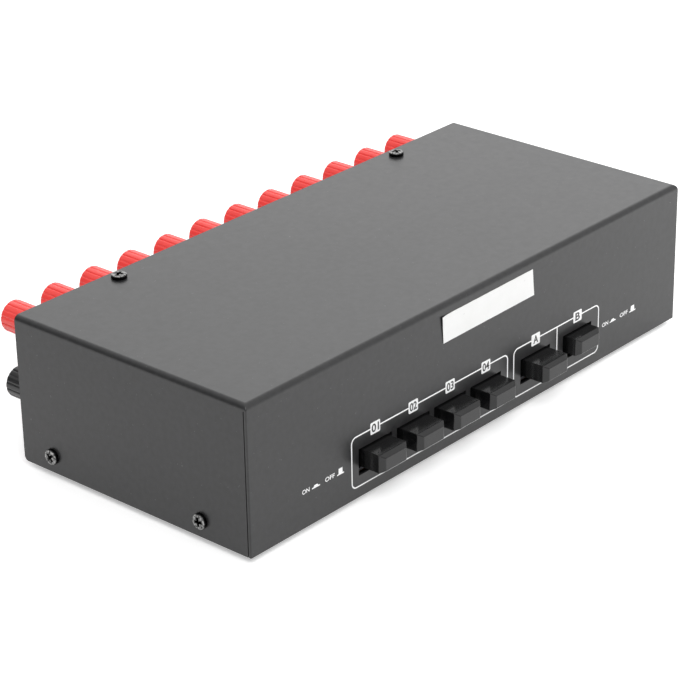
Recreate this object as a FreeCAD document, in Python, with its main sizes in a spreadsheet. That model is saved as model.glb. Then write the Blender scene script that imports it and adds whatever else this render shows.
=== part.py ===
"""Speaker selector switch: a steel box with six push buttons in front and
twenty-four binding posts behind.

X runs left to right along the front panel, Y from front to back, Z up.
The origin is the middle of the footprint, on the surface that the feet stand on.
"""
import FreeCAD, Part
import Sketcher
import os

from FreeCAD import Rotation, Vector

doc = FreeCAD.newDocument("speaker_selector_switch")

# ---------------------------------------------------------------------------
# Driving dimensions, in millimetres
# ---------------------------------------------------------------------------

DIMENSIONS = [
    # case: a bent cover over a bent chassis
    ("case_width", 255, "cover, left to right"),
    ("case_depth", 115, "cover, front to back"),
    ("case_height", 59, "cover, lower edge to top"),
    ("sheet_thickness", 1, "steel of cover and chassis"),
    ("cover_bend", 2.3, "outer radius of the cover's bends"),
    ("chassis_bend", 1.6, "outer radius of the chassis's bends"),
    ("corner_seam", 0.4, "slit between front and side flaps"),
    ("flap_corner", 1.8, "rounded lower rear corner of a side flap"),
    ("cover_fit", 0.1, "play between cover and chassis"),
    ("panel_inset", 0.5, "rear panel inside the cover's rear edge"),
    ("flange_depth", 12, "chassis flanges under the cover"),
    ("front_lip", 6, "upturned front edge of the chassis"),
    # feet
    ("foot_height", 2.5, "rubber foot"),
    ("foot_size", 12, "square rubber foot at the case"),
    ("foot_taper", 0.5, "how much less it is at the floor, each side"),
    ("foot_inset", 16, "foot's centre from the sides of the case"),
    # cover screws
    ("screw_radius", 1.5, "thread"),
    ("screw_hole", 1.7, "clearance hole in the cover"),
    ("pilot_hole", 1.55, "pilot hole in the chassis"),
    ("screw_length", 6, "under the head"),
    ("head_radius", 3.1, "pan head"),
    ("head_height", 1.7, "pan head"),
    ("top_screw_side", 80.4, "half the distance between the top screws"),
    ("top_screw_shift", 1.1, "their middle right of the case's middle"),
    ("top_screw_inset", 5.2, "top screws from the rear edge"),
    ("side_screw_front", 23.7, "side screws from the front edge"),
    ("side_screw_rear", 15.8, "side screws from the rear edge"),
    ("side_screw_rise", 6.7, "side screws above the lower edge"),
    # button openings
    ("opening_width", 18.6, "cut-out in the front panel"),
    ("opening_height", 10.6, "cut-out in the front panel"),
    ("opening_rise", 8.7, "its lower edge above the case's"),
    ("input_left", 61.1, "first input button, left of the middle"),
    ("input_pitch", 21.3, "between input buttons"),
    ("input_count", 4, "input buttons"),
    ("output_right", 33.6, "first output button, right of the middle"),
    ("output_pitch", 26.9, "between output buttons"),
    ("output_count", 2, "output buttons"),
    # button caps
    ("cap_width", 15.2, "button cap"),
    ("cap_height", 7.2, "button cap"),
    ("cap_length", 13.3, "button cap, front to back"),
    ("cap_rise", 11.5, "its lower side above the case's lower edge"),
    ("border_side", 1.9, "sloping border at the sides of the cap's face"),
    ("border_top", 1.2, "sloping border above and below the face"),
    ("face_rise", 1.7, "how far the face stands out of the cap's rim"),
    ("input_reach", 9.8, "input cap out of the panel when released"),
    ("output_reach", 11.1, "output cap out of the panel when released"),
    ("button_travel", 4.5, "released to pressed"),
    # push switches behind the buttons
    ("stem_width", 4, "plunger"),
    ("stem_height", 3, "plunger"),
    ("stem_socket", 5, "how deep the plunger sits in the cap"),
    ("stem_play", 0.4, "round the plunger in frame, bar and housing"),
    ("stem_tail", 3, "housing's end behind a released plunger"),
    ("spring_radius", 3.4, "return spring round the plunger"),
    ("spring_wire", 0.6, "return spring"),
    ("spring_sides", 8, "flats of the sleeve that stands for the spring"),
    ("frame_setback", 10, "front panel to switch frame"),
    ("frame_sheet", 1, "steel of the switch frames"),
    ("frame_margin", 4, "frame beyond the outer housings"),
    ("frame_lip", 8, "foot in front and lip over the housings"),
    ("housing_width", 11, "switch housing"),
    ("housing_height", 11, "switch housing"),
    ("housing_length", 28, "switch housing"),
    ("latch_gap", 0.3, "latch bar to frame and housings"),
    ("latch_sheet", 0.8, "latch bar"),
    ("latch_height", 8, "latch bar"),
    ("latch_travel", 1.5, "sideways"),
    # circuit board
    ("board_thickness", 1.6, "circuit board"),
    ("board_rise", 7.5, "its underside above the case's lower edge"),
    ("board_side", 9.5, "case side to board edge"),
    ("board_front", 3.5, "case front to board edge"),
    ("board_rear", 7.5, "case back to board edge"),
    ("support_radius", 3.2, "hexagonal board support, across corners"),
    ("tab_half", 1.6, "half the flat tab through the board"),
    ("tab_thickness", 1.4, "tab"),
    ("tab_barb", 0.6, "how far its barbs hold the board"),
    ("tab_point", 2.4, "its arrow-shaped tip"),
    ("tab_play", 0.1, "round the tab in the board's slot"),
    ("support_inset", 12, "from the board's edges"),
    # binding posts
    ("post_columns", 12, "posts in a row"),
    ("post_side", 17.3, "outer posts from the sides of the case"),
    ("lower_row", 19.7, "black posts above the case's lower edge"),
    ("upper_row_drop", 12.1, "red posts below the case's top"),
    ("stud_radius", 3, "threaded hexagonal brass stud, across corners"),
    ("socket_radius", 2, "for a 4 mm plug"),
    ("socket_depth", 13, "for a 4 mm plug"),
    ("stud_recess", 1.5, "stud's end inside the cap's"),
    ("stud_tail", 9, "stud behind the rear panel's outer face"),
    ("collar_radius", 5.9, "hexagonal collar, across corners"),
    ("collar_height", 4, "collar on the panel"),
    ("collar_neck", 7.2, "square neck through the panel"),
    ("neck_play", 0.1, "round the neck"),
    ("bore_play", 0.05, "round the stud"),
    ("clamp_gap", 0.2, "closed cap to its collar"),
    ("cap_radius", 6.3, "ridged cap"),
    ("cap_half_ridges", 6, "half the ridges round a cap"),
    ("cap_bore_sides", 8, "flats round a cap's bore"),
    ("post_reach", 21.5, "cap's end out of the rear panel"),
    ("strip_height", 14, "insulating strip inside the panel"),
    ("strip_thickness", 1.5, "insulating strip"),
    ("nut_radius", 5.2, "hexagon nut, across corners"),
    ("nut_height", 3, "hexagon nut"),
    ("link_thickness", 0.8, "brass strip from stud to board"),
    ("link_width", 3, "brass strip"),
    ("link_overlap", 2.4, "strip above the stud's centre"),
    ("link_offset", 6.5, "red strip beside its stud"),
    # blank white label over the buttons
    ("label_width", 54.5, "tape"),
    ("label_height", 11, "tape"),
    ("label_thickness", 0.2, "tape"),
    ("label_right", 4.2, "its centre right of the middle"),
    ("label_drop", 9.8, "its centre below the case's top"),
    ("label_tilt", 0.4, "degrees, right end up"),
]

sheet = doc.addObject("Spreadsheet::Sheet", "dims")
for row, (alias, value, note) in enumerate(DIMENSIONS, start=1):
    sheet.set(f"A{row}", note)
    sheet.set(f"B{row}", str(value))
    sheet.setAlias(f"B{row}", alias)
doc.recompute()

# Places that several pieces share, written with the sheet's own names.
# The case's middle lies behind the origin or in front of it, because the caps
# reach further out at the back than the buttons do in front.
REAR_REACH = "(dims.case_depth / 2 - dims.panel_inset + dims.post_reach)"
FRONT_REACH = "(dims.case_depth / 2 + dims.output_reach)"
MIDDLE_Y = f"(({FRONT_REACH} - {REAR_REACH}) / 2)"
FRONT_Y = f"({MIDDLE_Y} - dims.case_depth / 2)"
BACK_Y = f"({MIDDLE_Y} + dims.case_depth / 2)"
PANEL_Y = f"({BACK_Y} - dims.panel_inset)"
BASE_Z = "dims.foot_height"
FLOOR_Z = f"({BASE_Z} + dims.sheet_thickness)"
BOARD_Z = f"({BASE_Z} + dims.board_rise)"
BOARD_TOP_Z = f"({BOARD_Z} + dims.board_thickness)"
BUTTON_Z = f"({BASE_Z} + dims.cap_rise + dims.cap_height / 2)"
FRAME_Y = f"({FRONT_Y} + dims.frame_setback)"
LATCH_Y = f"({FRAME_Y} + dims.frame_sheet + dims.latch_gap)"
HOUSING_Y = f"({LATCH_Y} + dims.latch_sheet + dims.latch_gap)"
LEFT_SCREW_X = "(dims.top_screw_shift - dims.top_screw_side)"
RIGHT_SCREW_X = "(dims.top_screw_shift + dims.top_screw_side)"
TOP_SCREW_PAIR = ("X_Axis", "2 * dims.top_screw_side", "2")
LOWER_ROW_Z = f"({BASE_Z} + dims.lower_row)"
ROW_GAP = "(dims.case_height - dims.upper_row_drop - dims.lower_row)"
UPPER_ROW_Z = f"({LOWER_ROW_Z} + {ROW_GAP})"
FIRST_POST_X = "(-dims.case_width / 2 + dims.post_side)"
ROW_LENGTH = "(dims.case_width - 2 * dims.post_side)"
POST_PITCH = f"({ROW_LENGTH} / (dims.post_columns - 1))"
POST_ROW = ("X_Axis", ROW_LENGTH, "dims.post_columns")
POST_COLUMN = ("Z_Axis", ROW_GAP, "2")

# a hexagon's flats lie this share of the way out to its corners
HEX_FLAT = "cos(30 deg)"

PARTS = []


# ---------------------------------------------------------------------------
# Helpers
# ---------------------------------------------------------------------------

def size(alias):
    """A driving dimension's value."""
    return float(getattr(sheet, alias))


def bind(target, **expressions):
    """Bind properties; a double underscore stands for the dot in a path."""
    for path, expression in expressions.items():
        target.setExpression(path.replace("__", "."), expression)


def place(target, x="0", y="0", z="0"):
    bind(target, Placement__Base__x=x, Placement__Base__y=y, Placement__Base__z=z)


def finish(target, label):
    """Give a sub-part the name of its node and list it for export."""
    target.Label = label
    PARTS.append(target)
    return target


def new_body(name, x="0", y="0", z="0"):
    body = doc.addObject("PartDesign::Body", name)
    place(body, x, y, z)
    return body


def origin_part(body, role):
    return next(part for part in body.Origin.OriginFeatures if part.Role == role)


def new_sketch(body, name, plane, across="0", up="0", out="0"):
    """A sketch on one of the body's own planes, shifted within and off it."""
    sketch = body.newObject("Sketcher::SketchObject", name)
    sketch.AttachmentSupport = [(origin_part(body, plane), "")]
    sketch.MapMode = "FlatFace"
    bind(sketch, AttachmentOffset__Base__x=across, AttachmentOffset__Base__y=up,
         AttachmentOffset__Base__z=out)
    return sketch


def closed_outline(sketch, points):
    """Straight lines from point to point, joined end to end."""
    corners = [Vector(x, y, 0) for x, y in points]
    for index, corner in enumerate(corners):
        following = corners[(index + 1) % len(corners)]
        sketch.addGeometry(Part.LineSegment(corner, following), False)
    for index in range(len(corners)):
        following = (index + 1) % len(corners)
        sketch.addConstraint(Sketcher.Constraint("Coincident", index, 2, following, 1))


def dimension(sketch, kind, references, expression):
    """A named sketch dimension that follows an expression."""
    index = sketch.addConstraint(Sketcher.Constraint(kind, *references))
    name = f"size{index}"
    sketch.renameConstraint(index, name)
    sketch.setExpression(f"Constraints.{name}", expression)


def rectangle(body, name, plane, width, height, across="0", up="0", out="0"):
    """A rectangle centred on its sketch's origin."""
    sketch = new_sketch(body, name, plane, across, up, out)
    closed_outline(sketch, [(-5, -4), (5, -4), (5, 4), (-5, 4)])
    for line in (0, 2):
        sketch.addConstraint(Sketcher.Constraint("Horizontal", line))
    for line in (1, 3):
        sketch.addConstraint(Sketcher.Constraint("Vertical", line))
    sketch.addConstraint(Sketcher.Constraint("Symmetric", 0, 1, 2, 1, -1, 1))
    dimension(sketch, "DistanceX", (0, 1, 0, 2, 10), width)
    dimension(sketch, "DistanceY", (1, 1, 1, 2, 8), height)
    return sketch


def circle(body, name, plane, radius, across="0", up="0", out="0"):
    sketch = new_sketch(body, name, plane, across, up, out)
    sketch.addGeometry(Part.Circle(Vector(0, 0, 0), Vector(0, 0, 1), 1), False)
    sketch.addConstraint(Sketcher.Constraint("Coincident", 0, 3, -1, 1))
    dimension(sketch, "Radius", (0, 1), radius)
    return sketch


def hexagon(body, name, plane, radius, across="0", up="0", out="0"):
    """A regular hexagon in a circle of the given radius, two corners up and down."""
    sketch = new_sketch(body, name, plane, across, up, out)
    rim = sketch.addGeometry(Part.Circle(Vector(0, 0, 0), Vector(0, 0, 1), 1), True)
    sketch.addConstraint(Sketcher.Constraint("Coincident", rim, 3, -1, 1))
    dimension(sketch, "Radius", (rim, 1), radius)
    corners = [Rotation(Vector(0, 0, 1), 60 * turn).multVec(Vector(0, 1, 0)) for turn in range(6)]
    for turn, corner in enumerate(corners):
        sketch.addGeometry(Part.LineSegment(corner, corners[(turn + 1) % 6]), False)
    for turn in range(6):
        line = rim + 1 + turn
        following = rim + 1 + (turn + 1) % 6
        sketch.addConstraint(Sketcher.Constraint("Coincident", line, 2, following, 1))
        sketch.addConstraint(Sketcher.Constraint("PointOnObject", line, 1, rim))
        if turn:
            sketch.addConstraint(Sketcher.Constraint("Equal", rim + 1, line))
    sketch.addConstraint(Sketcher.Constraint("PointOnObject", rim + 1, 1, -2))
    return sketch


def pad(body, name, sketch, length, backwards=False, both_ways=False):
    feature = body.newObject("PartDesign::Pad", name)
    feature.Profile = sketch
    feature.Reversed = backwards
    feature.SideType = "Symmetric" if both_ways else "One side"
    bind(feature, Length=length)
    return feature


def pocket(body, name, sketch, length, backwards=False, both_ways=False):
    feature = body.newObject("PartDesign::Pocket", name)
    feature.Profile = sketch
    feature.Reversed = backwards
    feature.SideType = "Symmetric" if both_ways else "One side"
    bind(feature, Length=length)
    return feature


def row_of(body, name, originals, axis, length, count):
    """Repeat features along one of the body's axes."""
    pattern = body.newObject("PartDesign::LinearPattern", name)
    pattern.Originals = originals
    pattern.Direction = (origin_part(body, axis), [""])
    bind(pattern, Length=length, Occurrences=count)
    body.Tip = pattern
    return pattern


def grid_of(body, name, originals, first, second):
    """Repeat features along two axes; each is (axis, length, count)."""
    pattern = row_of(body, name, originals, *first)
    pattern.Direction2 = (origin_part(body, second[0]), [""])
    bind(pattern, Length2=second[1], Occurrences2=second[2])
    return pattern


def mirrored(body, name, originals, plane):
    feature = body.newObject("PartDesign::Mirrored", name)
    feature.Originals = originals
    feature.MirrorPlane = (origin_part(body, plane), [""])
    body.Tip = feature
    return feature


def edges_where(feature, test):
    """Names of the edges whose middle and direction pass a test."""
    names = []
    for index, edge in enumerate(feature.Shape.Edges, start=1):
        start, end = edge.firstVertex().Point, edge.lastVertex().Point
        if test((start + end) / 2, end - start):
            names.append(f"Edge{index}")
    return names


def fillet(body, name, feature, edges, radius):
    rounding = body.newObject("PartDesign::Fillet", name)
    rounding.Base = (feature, edges)
    bind(rounding, Radius=radius)
    return rounding


def near(value, target):
    return abs(value - target) < 0.01


# ---------------------------------------------------------------------------
# Case
# ---------------------------------------------------------------------------

def cover():
    """Top, front and sides bent from one sheet, open behind and below."""
    body = new_body("cover_body", y=MIDDLE_Y, z=BASE_Z)
    outline = rectangle(body, "cover_outline", "XY_Plane", "dims.case_width", "dims.case_depth")
    block = pad(body, "cover_block", outline, "dims.case_height")
    doc.recompute()

    top = size("case_height")
    front = -size("case_depth") / 2
    back = -front

    def is_bend(middle, along):
        return near(middle.z, top) and not near(middle.y, back)

    bends = fillet(body, "cover_bends", block, edges_where(block, is_bend), "dims.cover_bend")
    doc.recompute()

    open_faces = []
    for index, face in enumerate(bends.Shape.Faces, start=1):
        centre = face.CenterOfMass
        if near(centre.z, 0) or near(centre.y, back):
            open_faces.append(f"Face{index}")
    shell = body.newObject("PartDesign::Thickness", "cover_shell")
    shell.Base = (bends, open_faces)
    shell.Mode = 0
    shell.Join = 0
    shell.Reversed = True
    bind(shell, Value="dims.sheet_thickness")
    doc.recompute()

    def is_flap_corner(middle, along):
        flat = near(along.y, 0) and near(along.z, 0)
        return flat and near(middle.z, 0) and near(middle.y, back)

    corners = fillet(body, "flap_corners", shell, edges_where(shell, is_flap_corner), "dims.flap_corner")

    # the seam stops under the bends, as a relief cut does
    seam = rectangle(body, "seam_outline", "XZ_Plane", "dims.sheet_thickness * 3",
                     "dims.case_height - dims.cover_bend",
                     across="dims.case_width / 2",
                     up="(dims.case_height - dims.cover_bend) / 2",
                     out="dims.case_depth / 2 - dims.sheet_thickness - dims.corner_seam")
    seam_cut = pocket(body, "seam_cut", seam, "dims.corner_seam", backwards=True)
    mirrored(body, "seam_cuts", [seam_cut], "YZ_Plane")

    buttons = (
        ("input", "-dims.input_left", "dims.input_pitch", "dims.input_count"),
        ("output", "dims.output_right", "dims.output_pitch", "dims.output_count"),
    )
    for bank, first, pitch, count in buttons:
        opening = rectangle(body, f"{bank}_opening", "XZ_Plane", "dims.opening_width",
                            "dims.opening_height", across=first,
                            up="dims.opening_rise + dims.opening_height / 2",
                            out="dims.case_depth / 2")
        cut = pocket(body, f"{bank}_cut", opening, "dims.sheet_thickness * 2")
        row_of(body, f"{bank}_cuts", [cut], "X_Axis", f"{pitch} * ({count} - 1)", count)

    top_hole = circle(body, "top_hole", "XY_Plane", "dims.screw_hole", across=LEFT_SCREW_X,
                      up="dims.case_depth / 2 - dims.top_screw_inset", out="dims.case_height")
    top_cut = pocket(body, "top_cut", top_hole, "dims.sheet_thickness * 2")
    row_of(body, "top_cuts", [top_cut], *TOP_SCREW_PAIR)
    side_holes(body, circle, "dims.screw_hole", "dims.case_width / 2")
    return finish(body, "cover")


def side_holes(body, outline, radius, out):
    """Four screw holes in the side flaps of the cover or of the chassis."""
    places = (
        ("front", "-dims.case_depth / 2 + dims.side_screw_front"),
        ("rear", "dims.case_depth / 2 - dims.side_screw_rear"),
    )
    for end, y in places:
        hole = outline(body, f"side_hole_{end}", "YZ_Plane", radius, across=y,
                       up="dims.side_screw_rise", out=out)
        cut = pocket(body, f"side_cut_{end}", hole, "dims.sheet_thickness * 3")
        mirrored(body, f"side_cuts_{end}", [cut], "YZ_Plane")


def chassis():
    """Floor, rear panel and flanges bent from one sheet."""
    body = new_body("chassis_body", y=MIDDLE_Y, z=BASE_Z)
    width = "(dims.case_width - 2 * dims.sheet_thickness - 2 * dims.cover_fit)"
    front = "(-dims.case_depth / 2 + dims.sheet_thickness + dims.cover_fit)"
    panel = "(dims.case_depth / 2 - dims.panel_inset)"
    roof = "(dims.case_height - dims.sheet_thickness - dims.cover_fit)"
    profile = new_sketch(body, "chassis_profile", "YZ_Plane")
    closed_outline(profile, [
        (-50, 0), (50, 0), (50, 50), (40, 50), (40, 49), (49, 49),
        (49, 1), (-49, 1), (-49, 6), (-50, 6),
    ])
    for line in (0, 2, 4, 6, 8):
        profile.addConstraint(Sketcher.Constraint("Horizontal", line))
    for line in (1, 3, 5, 7, 9):
        profile.addConstraint(Sketcher.Constraint("Vertical", line))
    profile.addConstraint(Sketcher.Constraint("PointOnObject", 0, 1, -1))
    dimension(profile, "DistanceX", (0, 1, -1, 1, 50), f"-{front}")
    dimension(profile, "DistanceX", (-1, 1, 0, 2, 50), panel)
    dimension(profile, "DistanceY", (1, 1, 1, 2, 50), roof)
    dimension(profile, "DistanceX", (2, 2, 2, 1, 10), "dims.flange_depth")
    dimension(profile, "DistanceY", (3, 2, 3, 1, 1), "dims.sheet_thickness")
    dimension(profile, "DistanceX", (5, 1, 1, 2, 1), "dims.sheet_thickness")
    dimension(profile, "DistanceY", (1, 1, 6, 1, 1), "dims.sheet_thickness")
    dimension(profile, "DistanceX", (9, 1, 8, 1, 1), "dims.sheet_thickness")
    dimension(profile, "DistanceY", (9, 2, 9, 1, 6), "dims.front_lip")
    channel = pad(body, "chassis_channel", profile, width, both_ways=True)

    # side flanges: plates standing on the floor's ends, clear of the bends
    flange = rectangle(body, "flange_outline", "YZ_Plane",
                       "dims.case_depth - dims.panel_inset - 4 * dims.sheet_thickness"
                       " - 2 * dims.chassis_bend",
                       "dims.flange_depth", up="dims.flange_depth / 2", out=f"{width} / 2")
    plate = pad(body, "side_flange", flange, "dims.sheet_thickness", backwards=True)
    mirrored(body, "side_flanges", [plate], "YZ_Plane")
    doc.recompute()

    depth = size("case_depth") / 2
    outer_y = depth - size("panel_inset")
    inner_y = outer_y - size("sheet_thickness")
    upper_z = size("case_height") - size("sheet_thickness") - size("cover_fit")

    def is_outer_bend(middle, along):
        lengthwise = near(along.y, 0) and near(along.z, 0)
        return lengthwise and near(middle.y, outer_y) and (near(middle.z, 0) or near(middle.z, upper_z))

    def is_inner_bend(middle, along):
        lengthwise = near(along.y, 0) and near(along.z, 0)
        lower = near(middle.z, size("sheet_thickness"))
        upper = near(middle.z, upper_z - size("sheet_thickness"))
        return lengthwise and near(middle.y, inner_y) and (lower or upper)

    base = body.Tip
    outer = fillet(body, "chassis_bends", base, edges_where(base, is_outer_bend), "dims.chassis_bend")
    doc.recompute()
    fillet(body, "inner_bends", outer, edges_where(outer, is_inner_bend),
           "dims.chassis_bend - dims.sheet_thickness")

    # notched upper corners clear the inside of the cover's side bends
    relief = "2 * (dims.cover_bend - dims.sheet_thickness)"
    notch = rectangle(body, "corner_relief", "XZ_Plane", relief, relief,
                      across=f"{width} / 2", up=roof, out=f"-{panel}")
    notch_cut = pocket(body, "relief_cut", notch, "dims.flange_depth", backwards=True)
    mirrored(body, "relief_cuts", [notch_cut], "YZ_Plane")

    # square holes hold the collars' necks and keep the posts from turning
    hole = rectangle(body, "post_hole", "XZ_Plane", "dims.collar_neck + 2 * dims.neck_play",
                     "dims.collar_neck + 2 * dims.neck_play",
                     across=FIRST_POST_X, up="dims.lower_row", out=f"-{panel}")
    cut = pocket(body, "post_cut", hole, "dims.sheet_thickness * 2", backwards=True)
    grid_of(body, "post_cuts", [cut], POST_ROW, POST_COLUMN)

    # pilot holes: their flats clear the corners of the screws' shanks
    pilot = f"dims.pilot_hole / {HEX_FLAT}"
    top_hole = hexagon(body, "chassis_top_hole", "XY_Plane", pilot, across=LEFT_SCREW_X,
                       up="dims.case_depth / 2 - dims.top_screw_inset", out=roof)
    top_cut = pocket(body, "chassis_top_cut", top_hole, "dims.sheet_thickness * 2")
    row_of(body, "chassis_top_cuts", [top_cut], *TOP_SCREW_PAIR)
    side_holes(body, hexagon, pilot, f"{width} / 2")
    return finish(body, "chassis")


def screw_body(name, x, y, z, axis, angle):
    """A screw whose shank points down its own Z axis; the thread has plain flats here."""
    body = new_body(name, x, y, z)
    body.Placement.Rotation = Rotation(axis, angle)
    pad(body, f"{name}_head", circle(body, f"{name}_rim", "XY_Plane", "dims.head_radius"),
        "dims.head_height")
    pad(body, f"{name}_shank", hexagon(body, f"{name}_thread", "XY_Plane", "dims.screw_radius"),
        "dims.screw_length", backwards=True)
    return body


def cover_screws():
    """Two on top into the chassis's rear flange, two in each side."""
    top_z = f"{BASE_Z} + dims.case_height"
    rear_y = f"{BACK_Y} - dims.top_screw_inset"
    side_x = "dims.case_width / 2"
    side_z = f"{BASE_Z} + dims.side_screw_rise"
    side_rows = (f"{FRONT_Y} + dims.side_screw_front", f"{BACK_Y} - dims.side_screw_rear")
    across = Vector(0, 1, 0)
    screws = [
        screw_body("top_screw_left", LEFT_SCREW_X, rear_y, top_z, across, 0),
        screw_body("top_screw_right", RIGHT_SCREW_X, rear_y, top_z, across, 0),
    ]
    for index, y in enumerate(side_rows, start=1):
        screws.append(screw_body(f"left_screw_{index}", f"-{side_x}", y, side_z, across, -90))
        screws.append(screw_body(f"right_screw_{index}", side_x, y, side_z, across, 90))
    group = doc.addObject("Part::Compound", "cover_screw_group")
    group.Links = screws
    return finish(group, "cover_screws")


def rubber_feet():
    """Four square stick-on feet, a little smaller at the floor."""
    wide = "dims.foot_size / 2"
    narrow = "(dims.foot_size / 2 - dims.foot_taper)"
    feet = []
    for side in (-1, 1):
        for end in (-1, 1):
            foot = doc.addObject("Part::Wedge", f"foot_{len(feet) + 1}")
            bind(foot, Xmin=f"-{narrow}", Xmax=narrow, Zmin=f"-{narrow}", Zmax=narrow,
                 X2min=f"-{wide}", X2max=wide, Z2min=f"-{wide}", Z2max=wide,
                 Ymin="0", Ymax="dims.foot_height")
            foot.Placement.Rotation = Rotation(Vector(1, 0, 0), 90)
            place(foot, f"{side} * (dims.case_width / 2 - dims.foot_inset)",
                  f"{MIDDLE_Y} + {end} * (dims.case_depth / 2 - dims.foot_inset)")
            feet.append(foot)
    group = doc.addObject("Part::Compound", "foot_group")
    group.Links = feet
    return finish(group, "rubber_feet")


def label_tape():
    """A blank white tape on the front panel, stuck on slightly askew."""
    tape = doc.addObject("Part::Box", "label_tape_box")
    bind(tape, Length="dims.label_width", Width="dims.label_thickness", Height="dims.label_height")
    tape.Placement.Rotation = Rotation(Vector(0, 1, 0), -size("label_tilt"))
    turn = "(dims.label_tilt * 1 deg)"
    half_width = "dims.label_width / 2"
    half_height = "dims.label_height / 2"
    place(tape,
          f"dims.label_right - {half_width} * cos{turn} + {half_height} * sin{turn}",
          f"{FRONT_Y} - dims.label_thickness",
          f"{BASE_Z} + dims.case_height - dims.label_drop - {half_width} * sin{turn}"
          f" - {half_height} * cos{turn}")
    return finish(tape, "label_tape")


# ---------------------------------------------------------------------------
# Buttons and switches
# ---------------------------------------------------------------------------

def button_cap(label, x, face_y):
    """A cap with a raised face inside a sloping border; the stem plugs in behind."""
    body = new_body(f"{label}_body", x, face_y, BUTTON_Z)
    outline = rectangle(body, f"{label}_outline", "XZ_Plane", "dims.cap_width", "dims.cap_height",
                        out="-dims.face_rise")
    pad(body, f"{label}_block", outline, "dims.cap_length - dims.face_rise", backwards=True)

    # the wedge widens from the raised face to the rim
    face_x = "(dims.cap_width / 2 - dims.border_side)"
    face_z = "(dims.cap_height / 2 - dims.border_top)"
    border = body.newObject("PartDesign::AdditiveWedge", f"{label}_border")
    bind(border, Xmin=f"-{face_x}", Xmax=face_x, Zmin=f"-{face_z}", Zmax=face_z,
         X2min="-dims.cap_width / 2", X2max="dims.cap_width / 2",
         Z2min="-dims.cap_height / 2", Z2max="dims.cap_height / 2",
         Ymin="0", Ymax="dims.face_rise")

    socket = rectangle(body, f"{label}_socket", "XZ_Plane", "dims.stem_width", "dims.stem_height",
                       out="-dims.cap_length + dims.stem_socket")
    pocket(body, f"{label}_socket_cut", socket, "dims.stem_socket")
    return finish(body, label)


def plunger(label, x, face_y, reach):
    """The stem from the cap's socket through the frame into the housing."""
    stem = doc.addObject("Part::Box", f"{label}_stem")
    start = f"({face_y} + dims.cap_length - dims.stem_socket)"
    released_end = f"({HOUSING_Y} + dims.housing_length - dims.stem_tail)"
    released_start = f"({FRONT_Y} - {reach} + dims.cap_length - dims.stem_socket)"
    bind(stem, Length="dims.stem_width", Height="dims.stem_height",
         Width=f"{released_end} - {released_start}")
    place(stem, f"{x} - dims.stem_width / 2", start, f"{BUTTON_Z} - dims.stem_height / 2")
    return finish(stem, label)


def return_spring(label, x, face_y):
    """A coil spring round the plunger, between frame and cap, as a plain sleeve."""
    cap_back = f"({face_y} + dims.cap_length)"
    sleeves = []
    for wall, radius in (("outside", "dims.spring_radius"),
                         ("inside", "dims.spring_radius - dims.spring_wire")):
        sleeve = doc.addObject("Part::Prism", f"{label}_{wall}")
        bind(sleeve, Polygon="dims.spring_sides", Circumradius=radius,
             Height=f"{FRAME_Y} - {cap_back}")
        sleeves.append(sleeve)
    spring = doc.addObject("Part::Cut", label)
    spring.Base, spring.Tool = sleeves
    spring.Placement.Rotation = Rotation(Vector(1, 0, 0), -90)
    place(spring, x, cap_back, BUTTON_Z)
    return finish(spring, label)


def switch_frame(name, first, pitch, count):
    """A steel angle: foot on the board, holed front plate, lip over the housings."""
    span = f"({pitch} * ({count} - 1))"
    half = "(dims.housing_width / 2 + dims.frame_margin)"
    body = new_body(f"{name}_body", first, FRAME_Y, BOARD_TOP_Z)
    profile = new_sketch(body, f"{name}_profile", "YZ_Plane")
    closed_outline(profile, [
        (-8, 0), (1, 0), (1, 11), (9, 11), (9, 12), (0, 12), (0, 1), (-8, 1),
    ])
    for line in (0, 2, 4, 6):
        profile.addConstraint(Sketcher.Constraint("Horizontal", line))
    for line in (1, 3, 5, 7):
        profile.addConstraint(Sketcher.Constraint("Vertical", line))
    profile.addConstraint(Sketcher.Constraint("PointOnObject", 0, 1, -1))
    profile.addConstraint(Sketcher.Constraint("PointOnObject", 5, 1, -2))
    dimension(profile, "DistanceX", (0, 1, -1, 1, 8), "dims.frame_lip")
    dimension(profile, "DistanceX", (-1, 1, 0, 2, 1), "dims.frame_sheet")
    dimension(profile, "DistanceY", (7, 2, 7, 1, 1), "dims.frame_sheet")
    dimension(profile, "DistanceY", (-1, 1, 2, 1, 11), "dims.housing_height")
    dimension(profile, "DistanceY", (3, 1, 3, 2, 1), "dims.frame_sheet")
    dimension(profile, "DistanceX", (2, 1, 2, 2, 8), "dims.frame_lip")
    angle = body.newObject("PartDesign::Pad", f"{name}_angle")
    angle.Profile = profile
    angle.SideType = "Two sides"
    bind(angle, Length=f"{span} + {half}", Length2=half)
    hole = rectangle(body, f"{name}_hole", "XZ_Plane", "dims.stem_width + 2 * dims.stem_play",
                     "dims.stem_height + 2 * dims.stem_play", up=f"{BUTTON_Z} - {BOARD_TOP_Z}")
    cut = pocket(body, f"{name}_cut", hole, "dims.frame_sheet")
    row_of(body, f"{name}_cuts", [cut], "X_Axis", span, count)
    return finish(body, name)


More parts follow.
